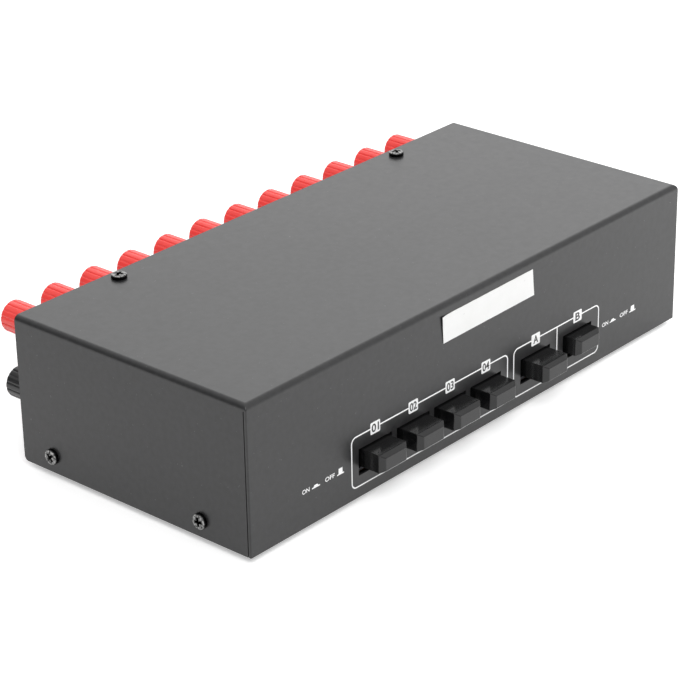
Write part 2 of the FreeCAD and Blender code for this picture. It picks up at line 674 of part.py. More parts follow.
def latch_bar():
    """A slotted strip behind the input frame; it slides sideways to free a button."""
    span = "(dims.input_pitch * (dims.input_count - 1))"
    half = "(dims.housing_width / 2 + dims.frame_margin)"
    body = new_body("latch_bar_body", "-dims.input_left", LATCH_Y, BUTTON_Z)
    strip = rectangle(body, "latch_outline", "XZ_Plane", f"{span} + 2 * {half} - dims.latch_travel",
                      "dims.latch_height", across=f"{span} / 2 - dims.latch_travel / 2")
    pad(body, "latch_strip", strip, "dims.latch_sheet", backwards=True)
    slot = rectangle(body, "latch_slot", "XZ_Plane",
                     "dims.stem_width + 2 * dims.stem_play + dims.latch_travel",
                     "dims.stem_height + 2 * dims.stem_play", across="-dims.latch_travel / 2")
    cut = pocket(body, "latch_cut", slot, "dims.latch_sheet")
    row_of(body, "latch_cuts", [cut], "X_Axis", span, "dims.input_count")
    return finish(body, "latch_bar")


def switch_housings(name, first, pitch, count):
    """Moulded housings on the board, each with a channel for its plunger."""
    body = new_body(f"{name}_body", first, HOUSING_Y, BOARD_TOP_Z)
    outline = rectangle(body, f"{name}_outline", "XZ_Plane", "dims.housing_width",
                        "dims.housing_height", up="dims.housing_height / 2")
    block = pad(body, f"{name}_block", outline, "dims.housing_length", backwards=True)
    hole = rectangle(body, f"{name}_channel", "XZ_Plane", "dims.stem_width + 2 * dims.stem_play",
                     "dims.stem_height + 2 * dims.stem_play", up=f"{BUTTON_Z} - {BOARD_TOP_Z}")
    channel = pocket(body, f"{name}_bore", hole, "dims.housing_length")
    row_of(body, f"{name}_row", [block, channel], "X_Axis", f"{pitch} * ({count} - 1)", count)
    return finish(body, name)


def circuit_board():
    """One board from the switches to the rear panel."""
    body = new_body("board_body", y=MIDDLE_Y, z=BOARD_Z)
    depth = "(dims.case_depth - dims.board_front - dims.board_rear)"
    shift = "((dims.board_front - dims.board_rear) / 2)"
    outline = rectangle(body, "board_outline", "XY_Plane",
                        "dims.case_width - 2 * dims.board_side", depth, up=shift)
    pad(body, "board_sheet", outline, "dims.board_thickness")
    across = "dims.case_width / 2 - dims.board_side - dims.support_inset"
    up = f"{depth} / 2 - dims.support_inset"
    slot = rectangle(body, "support_slot", "XY_Plane", "2 * dims.tab_half + 2 * dims.tab_play",
                     "dims.tab_thickness + 2 * dims.tab_play", across=f"-({across})",
                     up=f"{shift} - ({up})", out="dims.board_thickness")
    cut = pocket(body, "support_cut", slot, "dims.board_thickness")
    grid_of(body, "support_cuts", [cut], ("X_Axis", f"2 * ({across})", "2"),
            ("Y_Axis", f"2 * ({up})", "2"))
    return finish(body, "circuit_board")


def board_supports():
    """Nylon columns on the floor; a flat barbed tab holds the board on each."""
    across = "(dims.case_width / 2 - dims.board_side - dims.support_inset)"
    front = f"({FRONT_Y} + dims.board_front + dims.support_inset)"
    depth = "(dims.case_depth - dims.board_front - dims.board_rear - 2 * dims.support_inset)"
    body = new_body("support_body", f"-{across}", front, FLOOR_Z)
    column = pad(body, "support_column",
                 hexagon(body, "support_outline", "XY_Plane", "dims.support_radius"),
                 "dims.board_rise - dims.sheet_thickness")
    profile = new_sketch(body, "tab_profile", "XZ_Plane",
                         up="dims.board_rise - dims.sheet_thickness")
    closed_outline(profile, [(-1.6, 0), (1.6, 0), (1.6, 1.6), (2.2, 1.6), (0, 4), (-2.2, 1.6),
                             (-1.6, 1.6)])
    for line in (0, 2, 5):
        profile.addConstraint(Sketcher.Constraint("Horizontal", line))
    for line in (1, 6):
        profile.addConstraint(Sketcher.Constraint("Vertical", line))
    profile.addConstraint(Sketcher.Constraint("Symmetric", 0, 1, 0, 2, -1, 1))
    profile.addConstraint(Sketcher.Constraint("Symmetric", 2, 2, 4, 2, -2))
    profile.addConstraint(Sketcher.Constraint("PointOnObject", 4, 1, -2))
    dimension(profile, "DistanceX", (-1, 1, 0, 2, 1.6), "dims.tab_half")
    dimension(profile, "DistanceY", (1, 1, 1, 2, 1.6), "dims.board_thickness")
    dimension(profile, "DistanceX", (2, 1, 2, 2, 0.6), "dims.tab_barb")
    dimension(profile, "DistanceY", (3, 1, 3, 2, 2.4), "dims.tab_point")
    tab = pad(body, "support_tab", profile, "dims.tab_thickness", both_ways=True)
    grid_of(body, "support_grid", [column, tab], ("X_Axis", f"2 * {across}", "2"),
            ("Y_Axis", depth, "2"))
    return finish(body, "board_supports")


# ---------------------------------------------------------------------------
# Binding posts
# ---------------------------------------------------------------------------

def terminal_studs():
    """Studs of hexagonal brass bar, threaded over the corners, bored for a plug."""
    body = new_body("stud_body", FIRST_POST_X, PANEL_Y, LOWER_ROW_Z)
    end = "(dims.post_reach - dims.stud_recess)"
    bar = pad(body, "stud_bar",
              hexagon(body, "stud_outline", "XZ_Plane", "dims.stud_radius", out=f"-{end}"),
              f"{end} + dims.stud_tail")
    hole = circle(body, "socket_outline", "XZ_Plane", "dims.socket_radius",
                  out=f"dims.socket_depth - {end}")
    bore = pocket(body, "socket_bore", hole, "dims.socket_depth")
    grid_of(body, "stud_grid", [bar, bore], POST_ROW, POST_COLUMN)
    return finish(body, "terminal_studs")


def collars(name, row_z):
    """Insulating collars: hexagonal outside and in, a square neck through the panel."""
    body = new_body(f"{name}_body", FIRST_POST_X, PANEL_Y, row_z)
    flange = pad(body, f"{name}_flange",
                 hexagon(body, f"{name}_outline", "XZ_Plane", "dims.collar_radius"),
                 "dims.collar_height", backwards=True)
    neck = pad(body, f"{name}_neck",
               rectangle(body, f"{name}_square", "XZ_Plane", "dims.collar_neck", "dims.collar_neck"),
               "dims.sheet_thickness + dims.strip_thickness")
    hole = hexagon(body, f"{name}_hole", "XZ_Plane", "dims.stud_radius + dims.bore_play",
                   out="dims.sheet_thickness + dims.strip_thickness")
    bore = pocket(body, f"{name}_bore", hole,
                  "dims.collar_height + dims.sheet_thickness + dims.strip_thickness")
    row_of(body, f"{name}_row", [flange, neck, bore], *POST_ROW)
    return finish(body, name)


def insulating_strips():
    """Two strips inside the rear panel, holed for the collars' necks."""
    body = new_body("strip_body", FIRST_POST_X, f"{PANEL_Y} - dims.sheet_thickness", LOWER_ROW_Z)
    span = POST_ROW[1]
    outline = rectangle(body, "strip_outline", "XZ_Plane", f"{span} + dims.strip_height",
                        "dims.strip_height", across=f"{span} / 2")
    strip = pad(body, "strip_sheet", outline, "dims.strip_thickness")
    row_of(body, "strip_pair", [strip], *POST_COLUMN)
    hole = rectangle(body, "strip_hole", "XZ_Plane", "dims.collar_neck + 2 * dims.neck_play",
                     "dims.collar_neck + 2 * dims.neck_play", out="dims.strip_thickness")
    cut = pocket(body, "strip_cut", hole, "dims.strip_thickness")
    grid_of(body, "strip_cuts", [cut], POST_ROW, POST_COLUMN)
    return finish(body, "insulating_strips")


def stud_nuts():
    """A hexagon nut behind each collar; the flats of its bore clear the stud's corners."""
    body = new_body("nut_body", FIRST_POST_X,
                    f"{PANEL_Y} - dims.sheet_thickness - dims.strip_thickness", LOWER_ROW_Z)
    block = pad(body, "nut_block", hexagon(body, "nut_outline", "XZ_Plane", "dims.nut_radius"),
                "dims.nut_height")
    hole = hexagon(body, "nut_hole", "XZ_Plane",
                   f"(dims.stud_radius + dims.bore_play) / {HEX_FLAT}", out="dims.nut_height")
    bore = pocket(body, "nut_bore", hole, "dims.nut_height")
    grid_of(body, "nut_grid", [block, bore], POST_ROW, POST_COLUMN)
    return finish(body, "stud_nuts")


def black_links():
    """Straight brass strips from the lower studs down to the board."""
    body = new_body("black_link_body", FIRST_POST_X, f"{PANEL_Y} - dims.stud_tail", LOWER_ROW_Z)
    drop = f"({LOWER_ROW_Z} - {BOARD_TOP_Z})"
    outline = rectangle(body, "black_link_outline", "XZ_Plane", "dims.link_width",
                        f"{drop} + dims.link_overlap", up=f"(dims.link_overlap - {drop}) / 2")
    strip = pad(body, "black_link_strip", outline, "dims.link_thickness")
    row_of(body, "black_link_row", [strip], *POST_ROW)
    return body


def red_links():
    """Cranked brass strips from the upper studs, past the lower ones, to the board."""
    body = new_body("red_link_body", FIRST_POST_X, f"{PANEL_Y} - dims.stud_tail", UPPER_ROW_Z)
    outline = new_sketch(body, "red_link_outline", "XZ_Plane")
    closed_outline(outline, [(-1.5, -1.5), (5, -1.5), (5, -37), (8, -37), (8, 2.4), (-1.5, 2.4)])
    for line in (0, 2, 4):
        outline.addConstraint(Sketcher.Constraint("Horizontal", line))
    for line in (1, 3, 5):
        outline.addConstraint(Sketcher.Constraint("Vertical", line))
    dimension(outline, "DistanceX", (0, 1, -1, 1, 1.5), "dims.link_width / 2")
    dimension(outline, "DistanceY", (0, 1, -1, 1, 1.5), "dims.link_width / 2")
    dimension(outline, "DistanceY", (-1, 1, 5, 1, 2.4), "dims.link_overlap")
    dimension(outline, "DistanceX", (-1, 1, 2, 2, 8), "dims.link_offset + dims.link_width / 2")
    dimension(outline, "DistanceX", (2, 1, 2, 2, 3), "dims.link_width")
    dimension(outline, "DistanceY", (2, 1, -1, 1, 37), f"{UPPER_ROW_Z} - {BOARD_TOP_Z}")
    strip = pad(body, "red_link_strip", outline, "dims.link_thickness")
    row_of(body, "red_link_row", [strip], *POST_ROW)
    return body


def post_links():
    """All the strips that join the posts to the board."""
    group = doc.addObject("Part::Compound", "link_group")
    group.Links = [black_links(), red_links()]
    return finish(group, "post_links")


def terminal_cap(label, column, row_z):
    """A cap with ridges all round: two prisms turned against each other, bored through."""
    length = "(dims.post_reach - dims.collar_height - dims.clamp_gap)"
    prisms = []
    for turn in (0, 1):
        prism = doc.addObject("Part::Prism", f"{label}_prism_{turn + 1}")
        bind(prism, Polygon="dims.cap_half_ridges", Circumradius="dims.cap_radius", Height=length)
        prism.Placement.Rotation = Rotation(Vector(0, 0, 1), turn * 180 / size("cap_half_ridges"))
        prisms.append(prism)
    ridged = doc.addObject("Part::MultiFuse", f"{label}_ridged")
    ridged.Shapes = prisms
    bore = doc.addObject("Part::Prism", f"{label}_bore")
    bind(bore, Polygon="dims.cap_bore_sides", Height=length,
         Circumradius="(dims.stud_radius + dims.bore_play) / cos(180 deg / dims.cap_bore_sides)")
    cap = doc.addObject("Part::Cut", label)
    cap.Base = ridged
    cap.Tool = bore
    cap.Placement.Rotation = Rotation(Vector(1, 0, 0), -90)
    place(cap, f"{FIRST_POST_X} + {column} * {POST_PITCH}",
          f"{PANEL_Y} + dims.collar_height + dims.clamp_gap", row_z)
    return finish(cap, label)


# ---------------------------------------------------------------------------
# Assembly
# ---------------------------------------------------------------------------

cover()
chassis()
cover_screws()
rubber_feet()
label_tape()

banks = (
    ("input", "-dims.input_left", "dims.input_pitch", "dims.input_count"),
    ("output", "dims.output_right", "dims.output_pitch", "dims.output_count"),
)
for bank, first, pitch, count in banks:
    switch_frame(f"{bank}_switch_frame", first, pitch, count)
    switch_housings(f"{bank}_switch_housings", first, pitch, count)
latch_bar()

# the last output button is latched in, every other button is out
buttons = [
    (f"input_{number}", f"(-dims.input_left + {number - 1} * dims.input_pitch)",
     "dims.input_reach", "0")
    for number in range(1, int(size("input_count")) + 1)
]
buttons.append(("output_a", "dims.output_right", "dims.output_reach", "0"))
buttons.append(("output_b", "(dims.output_right + dims.output_pitch)", "dims.output_reach",
                "dims.button_travel"))
for name, x, reach, pressed in buttons:
    face_y = f"({FRONT_Y} - {reach} + {pressed})"
    button_cap(f"button_{name}", x, face_y)
    plunger(f"plunger_{name}", x, face_y, reach)
    return_spring(f"spring_{name}", x, face_y)

circuit_board()
board_supports()

terminal_studs()
collars("red_collars", UPPER_ROW_Z)
collars("black_collars", LOWER_ROW_Z)
insulating_strips()
stud_nuts()
post_links()
for colour, row_z in (("red", UPPER_ROW_Z), ("black", LOWER_ROW_Z)):
    for column in range(int(size("post_columns"))):
        terminal_cap(f"{colour}_cap_{column + 1:02d}", column, row_z)

doc.recompute()


# ---------------------------------------------------------------------------
# Checks and export
# ---------------------------------------------------------------------------

for item in doc.Objects:
    if "Invalid" in item.State or "Error" in item.State:
        raise RuntimeError(f"{item.Name} failed: {item.State}")
for part in PARTS:
    if part.Shape.isNull() or not part.Shape.isValid() or not part.Shape.Solids:
        raise RuntimeError(f"{part.Label} has no sound shape")

os.makedirs("parts", exist_ok=True)
for part in PARTS:
    part.Shape.exportStep(f"parts/{part.Label}.step")
print(f"{len(PARTS)} nodes written")
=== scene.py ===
# %% [markdown]
# # A speaker selector switch
#
# The object is a box of painted sheet steel with six push buttons in front and two rows
# of binding posts behind. Its working parts come ready made, as a frame of fixed meshes.
# This lesson gives that frame its looks. Each step says what a piece is on the real
# object, how it could be made in Blender, and why one of those ways was chosen.
#
# The frame comes first. Its objects sit at the origin, and the place of each part is in
# its mesh, so a new piece is right when its own mesh has the right place.

# %% Load the frame
import math

import bmesh
import bpy
from mathutils import Matrix, Vector


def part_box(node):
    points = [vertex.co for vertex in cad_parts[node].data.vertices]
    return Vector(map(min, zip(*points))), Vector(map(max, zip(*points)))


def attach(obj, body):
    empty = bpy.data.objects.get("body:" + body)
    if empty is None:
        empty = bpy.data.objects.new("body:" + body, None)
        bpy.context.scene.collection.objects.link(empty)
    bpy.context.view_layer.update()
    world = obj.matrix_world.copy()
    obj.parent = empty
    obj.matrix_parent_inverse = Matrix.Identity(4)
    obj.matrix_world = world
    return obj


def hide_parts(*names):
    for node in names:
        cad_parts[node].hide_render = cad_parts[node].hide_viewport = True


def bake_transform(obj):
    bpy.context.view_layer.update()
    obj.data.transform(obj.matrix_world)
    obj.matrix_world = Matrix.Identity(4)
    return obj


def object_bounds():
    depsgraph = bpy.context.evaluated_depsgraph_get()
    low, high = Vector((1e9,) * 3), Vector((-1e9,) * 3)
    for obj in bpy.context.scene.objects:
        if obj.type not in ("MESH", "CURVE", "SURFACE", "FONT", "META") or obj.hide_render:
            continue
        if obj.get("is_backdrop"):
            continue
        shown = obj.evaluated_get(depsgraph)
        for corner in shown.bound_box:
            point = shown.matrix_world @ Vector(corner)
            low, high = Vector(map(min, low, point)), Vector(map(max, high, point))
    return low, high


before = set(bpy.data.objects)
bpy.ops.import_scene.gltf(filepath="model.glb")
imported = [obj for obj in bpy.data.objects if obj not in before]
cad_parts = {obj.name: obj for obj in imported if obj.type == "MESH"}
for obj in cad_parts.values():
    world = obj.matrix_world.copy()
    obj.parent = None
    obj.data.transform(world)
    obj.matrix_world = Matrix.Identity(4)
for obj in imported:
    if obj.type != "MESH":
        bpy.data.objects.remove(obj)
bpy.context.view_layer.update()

# %% [markdown]
# Blender keeps a shape and its place apart: a mesh holds the shape, and an object shows
# it at a place. Two helpers make one of each.

# %% Helpers for objects
def as_mesh(bm, name):
    """Turn a bmesh into a mesh."""
    mesh = bpy.data.meshes.new(name)
    bm.to_mesh(mesh)
    bm.free()
    return mesh


def add_object(name, data):
    """Put an object with this mesh, lamp, camera or text into the scene."""
    made = bpy.data.objects.new(name, data)
    bpy.context.scene.collection.objects.link(made)
    return made


print("helpers ready")

# %% [markdown]
# Most of the new pieces stand on or in the case, so its walls are read once from the
# frame's cover. The front panel looks along -Y, and everything printed on it is placed
# from its lower edge and its middle. Points closer together than MERGE count as one.

# %% Measure the case
MM = 0.001
SHEET = 1.0 * MM
MERGE = 0.001 * MM

cover_low, cover_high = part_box("cover")
LEFT_X, RIGHT_X = cover_low.x, cover_high.x
FRONT_Y, REAR_Y = cover_low.y, cover_high.y
BASE_Z, TOP_Z = cover_low.z, cover_high.z
print(f"case {(RIGHT_X - LEFT_X) / MM:.1f} x {(REAR_Y - FRONT_Y) / MM:.1f} x {(TOP_Z - BASE_Z) / MM:.1f} mm")

# %% [markdown]
# ## The camera
#
# A camera can be aimed with a Track To constraint, or its axes can be worked out from
# three angles. The second way also allows a slight roll, which a hand-held camera has.
# `back` points from the target to the camera. The other two axes follow from it.

# %% Place the camera
AZIMUTH = math.radians(-48.307)
ELEVATION = math.radians(25.419)
ROLL = math.radians(-1.116)
DISTANCE = 1.047
AIM = Vector((0.0244, 0.0298, 0.0025))
SENSOR = 36.0
LENS = 136.31

back = Vector((math.sin(AZIMUTH) * math.cos(ELEVATION),
               -math.cos(AZIMUTH) * math.cos(ELEVATION),
               math.sin(ELEVATION)))
level_right = Vector((0, 0, 1)).cross(back).normalized()
level_up = back.cross(level_right)
right = math.cos(ROLL) * level_right + math.sin(ROLL) * level_up
up = math.cos(ROLL) * level_up - math.sin(ROLL) * level_right

camera_data = bpy.data.cameras.new("camera")
camera_data.sensor_width = SENSOR
camera_data.lens = LENS
camera = add_object("camera", camera_data)
camera.matrix_world = Matrix.Translation(AIM + DISTANCE * back) @ Matrix(
    (right, up, back)).transposed().to_4x4()
bpy.context.scene.camera = camera
bpy.context.scene.view_settings.view_transform = "Standard"
print("camera at", [round(value, 3) for value in camera.location])

# %% [markdown]
# ## The studio
#
# Satin black paint shows mostly what it reflects. A studio that is equally white all
# round would wash it out. So the surroundings are pale overhead and to the right, and dark
# near the horizon at the left. The flat sides mirror the pale floor. The bends of the case
# mirror what is near the horizon, and draw bands along its upper edges that are darker
# than the walls, the left one most. Two ramps do this, one over the height and one over
# the side of the light's direction. The camera itself sees plain white.

# %% Light the surroundings
LEFT_HORIZON, RIGHT_HORIZON = 0.25, 0.95
SIDE_REACH = 0.5
ZENITH_LIGHT = 1.05
DARK_BELOW = 0.42
PALE_ABOVE = 0.9


def add_node(tree, kind, **settings):
    node = tree.nodes.new(kind)
    for name, value in settings.items():
        setattr(node, name, value)
    return node


def set_inputs(node, **values):
    """Set a node's inputs by name, with an underscore for each space."""
    for name, value in values.items():
        node.inputs[name.replace("_", " ")].default_value = value


def seen_rays(tree, kinds):
    """One for rays of these kinds, zero for all others."""
    path = add_node(tree, "ShaderNodeLightPath")
    total = path.outputs[kinds[0]]
    for kind in kinds[1:]:
        either = add_node(tree, "ShaderNodeMath", operation="MAXIMUM")
        tree.links.new(total, either.inputs[0])
        tree.links.new(path.outputs[kind], either.inputs[1])
        total = either.outputs[0]
    return total


world = bpy.data.worlds.new("studio")
bpy.context.scene.world = world
world.use_nodes = True
sky = world.node_tree
direction = add_node(sky, "ShaderNodeTexCoord")
axes = add_node(sky, "ShaderNodeSeparateXYZ")
sky.links.new(direction.outputs["Generated"], axes.inputs[0])
horizon = add_node(sky, "ShaderNodeMapRange", interpolation_type="SMOOTHSTEP")
set_inputs(horizon, From_Min=-SIDE_REACH, From_Max=SIDE_REACH, To_Min=LEFT_HORIZON,
           To_Max=RIGHT_HORIZON)
sky.links.new(axes.outputs["X"], horizon.inputs["Value"])
height = add_node(sky, "ShaderNodeMapRange", interpolation_type="SMOOTHSTEP")
set_inputs(height, From_Min=DARK_BELOW, From_Max=PALE_ABOVE, To_Max=ZENITH_LIGHT)
sky.links.new(horizon.outputs["Result"], height.inputs["To Min"])
sky.links.new(axes.outputs["Z"], height.inputs["Value"])
level = add_node(sky, "ShaderNodeMix", data_type="FLOAT")
sky.links.new(seen_rays(sky, ["Is Camera Ray"]), level.inputs["Factor"])
sky.links.new(height.outputs["Result"], level.inputs[2])
level.inputs[3].default_value = 1.0
sky.links.new(level.outputs[0], sky.nodes["Background"].inputs["Strength"])
sky.nodes["Background"].inputs["Color"].default_value = (1, 1, 1, 1)
print("surroundings", LEFT_HORIZON, "to", RIGHT_HORIZON, "at the horizon,", ZENITH_LIGHT, "overhead")

# %% [markdown]
# The floor is a plain pale plane. It keeps the object's soft shadow, and a little glow
# that only the camera and mirrors see lifts the rest of it to white. Seen from below it
# lets light through, so that the underside can be looked at.

# %% Lay the floor
FLOOR_SIZE = 40.0
FLOOR_COLOUR = (0.86, 0.86, 0.86, 1)
FLOOR_GLOW = 0.4

floor_bm = bmesh.new()
bmesh.ops.create_grid(floor_bm, x_segments=1, y_segments=1, size=FLOOR_SIZE / 2)
floor_mesh = as_mesh(floor_bm, "floor")
floor = add_object("floor", floor_mesh)
floor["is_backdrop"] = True

floor_material = bpy.data.materials.new("pale_floor")
floor_material.use_nodes = True
ground = floor_material.node_tree
ground.nodes.remove(ground.nodes["Principled BSDF"])
matt = add_node(ground, "ShaderNodeBsdfDiffuse")
set_inputs(matt, Color=FLOOR_COLOUR)
glow = add_node(ground, "ShaderNodeEmission")
glow_level = add_node(ground, "ShaderNodeMath", operation="MULTIPLY")
glow_level.inputs[1].default_value = FLOOR_GLOW
ground.links.new(seen_rays(ground, ["Is Camera Ray", "Is Glossy Ray", "Is Transmission Ray"]),
                 glow_level.inputs[0])
ground.links.new(glow_level.outputs[0], glow.inputs["Strength"])
both = add_node(ground, "ShaderNodeAddShader")
ground.links.new(matt.outputs[0], both.inputs[0])
ground.links.new(glow.outputs[0], both.inputs[1])
side = add_node(ground, "ShaderNodeNewGeometry")
clear = add_node(ground, "ShaderNodeBsdfTransparent")
one_sided = add_node(ground, "ShaderNodeMixShader")
ground.links.new(side.outputs["Backfacing"], one_sided.inputs[0])
ground.links.new(both.outputs[0], one_sided.inputs[1])
ground.links.new(clear.outputs[0], one_sided.inputs[2])
ground.links.new(one_sided.outputs[0], ground.nodes["Material Output"].inputs["Surface"])
floor_mesh.materials.append(floor_material)
print("floor", FLOOR_SIZE, "m wide")

# %% [markdown]
# Three soft boxes shape the object. A wide one stands low behind it, to the right, and
# draws the sheen on the top. One hangs high beside the camera and lights whatever is
# coloured: flat faces mirror it away from the camera, so the black paint stays black.
# The third hangs low at the right and looks down at the floor there. The front panel
# mirrors that patch of floor, so it grows lighter towards the right. The lamp itself is
# hidden from mirrors, or the bend above the panel would show it as a bright line. Large
# area lamps give the soft edges of real soft boxes.

# %% Hang three soft boxes
def hang_lamp(name, place, width, height, watts, target=(0, 0, 0), mirrored=True):
    """A rectangular area lamp that looks at a target."""
    data = bpy.data.lights.new(name, "AREA")
    data.shape = "RECTANGLE"
    data.size = width
    data.size_y = height
    data.energy = watts
    lamp = add_object(name, data)
    lamp.location = place
    lamp.visible_glossy = mirrored
    lamp.rotation_euler = (Vector(target) - Vector(place)).to_track_quat("-Z", "Y").to_euler()


hang_lamp("soft_box_behind", (1.5, 1.35, 1.15), width=2.4, height=1.2, watts=8.0)
hang_lamp("soft_box_high", (-0.75, -0.8, 1.3), width=0.8, height=0.8, watts=9.5)
hang_lamp("soft_box_right", (0.45, -0.35, 0.3), width=0.3, height=0.3, watts=1.25,
          target=(0.4, -0.35, 0), mirrored=False)
print("three soft boxes")

# %% [markdown]
# ## Finishes
#
# Each finish is one Principled material. What is the same everywhere is set on the
# shader's own sockets. What varies comes from noise that reads Object coordinates, in
# metres, so the grain keeps its real size on every piece. The blobs of Blender's noise
# are about half a metre wide at scale 1. A helper starts a material, and small helpers
# add a mottled colour, an uneven gloss and a fine relief.

# %% Helpers for materials
BLOB_SIZE = 0.5


def start_material(name, colour, roughness, metallic=0.0):
    material = bpy.data.materials.new(name)
    material.use_nodes = True
    set_inputs(material.node_tree.nodes["Principled BSDF"], Base_Color=(*colour, 1),
               Roughness=roughness, Metallic=metallic)
    return material


def noise(tree, size, detail, stretch=(1, 1, 1)):
    """Noise whose blobs are about as large as the given size, in metres."""
    place = add_node(tree, "ShaderNodeTexCoord")
    mapping = add_node(tree, "ShaderNodeMapping")
    set_inputs(mapping, Scale=stretch)
    texture = add_node(tree, "ShaderNodeTexNoise")
    set_inputs(texture, Scale=BLOB_SIZE / size, Detail=detail)
    tree.links.new(place.outputs["Object"], mapping.inputs["Vector"])
    tree.links.new(mapping.outputs[0], texture.inputs["Vector"])
    return texture.outputs["Fac"]


def ramp(tree, source, low, high, start, end):
    """Turn a value between start and end into one between low and high."""
    span = add_node(tree, "ShaderNodeMapRange")
    set_inputs(span, From_Min=start, From_Max=end, To_Min=low, To_Max=high)
    tree.links.new(source, span.inputs["Value"])
    return span.outputs["Result"]


def mottle(material, other, source, start=0.35, end=0.65, amount=1.0):
    """Mix another colour into the base colour where the source is high."""
    tree = material.node_tree
    socket = tree.nodes["Principled BSDF"].inputs["Base Color"]
    mix = add_node(tree, "ShaderNodeMix", data_type="RGBA")
    if socket.is_linked:
        tree.links.new(socket.links[0].from_socket, mix.inputs[6])
    else:
        mix.inputs[6].default_value = socket.default_value[:]
    mix.inputs[7].default_value = (*other, 1)
    tree.links.new(ramp(tree, source, 0.0, amount, start, end), mix.inputs["Factor"])
    tree.links.new(mix.outputs[2], socket)


def vary_gloss(material, source, low, high, start=0.3, end=0.7):
    tree = material.node_tree
    tree.links.new(ramp(tree, source, low, high, start, end),
                   tree.nodes["Principled BSDF"].inputs["Roughness"])


def relief(material, source, depth, strength):
    """Raise the surface by up to depth metres where the source is high."""
    tree = material.node_tree
    bump = add_node(tree, "ShaderNodeBump")
    set_inputs(bump, Strength=strength, Distance=depth)
    tree.links.new(source, bump.inputs["Height"])
    tree.links.new(bump.outputs[0], tree.nodes["Principled BSDF"].inputs["Normal"])


print("helpers ready")

# %% [markdown]
# The case is sprayed with satin black enamel. Sprayed paint has three scales of detail:
# a very fine grain, a soft unevenness of the gloss over a millimetre or two, and a few
# specks of dust that dried in it.

# %% Paint for the case
def make_paint():
    paint = start_material("satin_paint", (0.016, 0.016, 0.0165), 0.32)
    tree = paint.node_tree
    mottle(paint, (0.022, 0.022, 0.023), noise(tree, 1.2 * MM, 4.0))
    specks = noise(tree, 0.5 * MM, 1.0)
    mottle(paint, (0.11, 0.11, 0.11), specks, start=0.77, end=0.8, amount=0.6)
    vary_gloss(paint, noise(tree, 1.6 * MM, 5.0), low=0.3, high=0.34)
    relief(paint, noise(tree, 0.3 * MM, 2.0), depth=0.01 * MM, strength=0.6)
    return paint


paint = make_paint()
print("finish", paint.name)

# %% [markdown]
# The buttons and the caps of the posts are moulded plastic. Moulded parts are smoother
# than paint and take fine marks from handling, so their gloss varies at a smaller scale.
# The buttons come from a polished mould, so they mirror more sharply than the rest.

# %% Plastics
def make_plastic(name, colour, other, roughness):
    plastic = start_material(name, colour, roughness)
    tree = plastic.node_tree
    mottle(plastic, other, noise(tree, 3 * MM, 3.0), amount=0.7)
    vary_gloss(plastic, noise(tree, 1.4 * MM, 4.0), roughness - 0.04, roughness + 0.06)
    relief(plastic, noise(tree, 0.6 * MM, 2.0), depth=0.004 * MM, strength=0.5)
    return plastic


button_plastic = make_plastic("button_plastic", (0.005, 0.005, 0.0053), (0.008, 0.008, 0.0085), 0.18)
red_plastic = make_plastic("red_plastic", (0.9, 0.058, 0.05), (0.94, 0.076, 0.066), 0.3)
black_plastic = make_plastic("black_plastic", (0.011, 0.011, 0.012), (0.016, 0.016, 0.017), 0.32)
housing_plastic = make_plastic("housing_plastic", (0.018, 0.018, 0.019), (0.026, 0.026, 0.026), 0.55)
nylon = make_plastic("nylon", (0.72, 0.7, 0.64), (0.66, 0.64, 0.57), 0.45)
rubber = make_plastic("rubber", (0.022, 0.022, 0.022), (0.034, 0.034, 0.033), 0.8)
print("six plastics")

# %% [markdown]
# Metals differ by colour and by the marks of how they were made. Turned brass shows
# rings, and rolled sheet with a dark phosphate coat shows long streaks. Both come from
# one noise that is stretched along the marks.

# %% Metals
def make_metal(name, colour, other, roughness, stretch):
    metal = start_material(name, colour, roughness, metallic=1.0)
    tree = metal.node_tree
    marks = noise(tree, 0.5 * MM, 3.0, stretch)
    mottle(metal, other, noise(tree, 4 * MM, 3.0), amount=0.8)
    vary_gloss(metal, marks, roughness - 0.1, roughness + 0.12)
    relief(metal, marks, depth=0.01 * MM, strength=0.5)
    return metal


brass = make_metal("brass", (0.78, 0.58, 0.26), (0.66, 0.46, 0.19), 0.28, (0.2, 2.0, 0.2))
frame_steel = make_metal("phosphated_steel", (0.1, 0.1, 0.105), (0.07, 0.07, 0.075), 0.5, (0.1, 1.0, 1.0))
spring_steel = make_metal("spring_steel", (0.5, 0.5, 0.5), (0.42, 0.42, 0.43), 0.3, (1, 1, 1))
print("three metals")

# %% [markdown]
# The screws are blackened steel. Where a screwdriver and fingers rub, the black is gone
# and bare metal shows: most of all on the rim of the head, less on its flat. The mesh
# carries that as a value of its own, called wear, which is painted on the vertices when
# the screw is made. Noise breaks it up.

# %% Blackened screws
def make_screw_black():
    black = start_material("blackened_steel", (0.012, 0.012, 0.013), 0.3, metallic=1.0)
    tree = black.node_tree
    wear = add_node(tree, "ShaderNodeAttribute", attribute_name="wear")
    rubbed = add_node(tree, "ShaderNodeMath", operation="MULTIPLY")
    patches = ramp(tree, noise(tree, 0.45 * MM, 3.0), low=0.1, high=1.9, start=0.36, end=0.64)
    tree.links.new(wear.outputs["Fac"], rubbed.inputs[0])
    tree.links.new(patches, rubbed.inputs[1])
    mottle(black, (0.62, 0.62, 0.61), rubbed.outputs[0], start=0.0, end=1.0)
    vary_gloss(black, noise(tree, 0.4 * MM, 3.0), low=0.22, high=0.38)
    return black


screw_black = make_screw_black()
print("finish", screw_black.name)

# %% [markdown]
# The tape on the front is white and slightly glossy, the ink of the lettering is a matt
# white, and the circuit board is brown resin paper with a faint weave. All three are flat
# colours on the real object, so their detail is only a little soiling and grain.

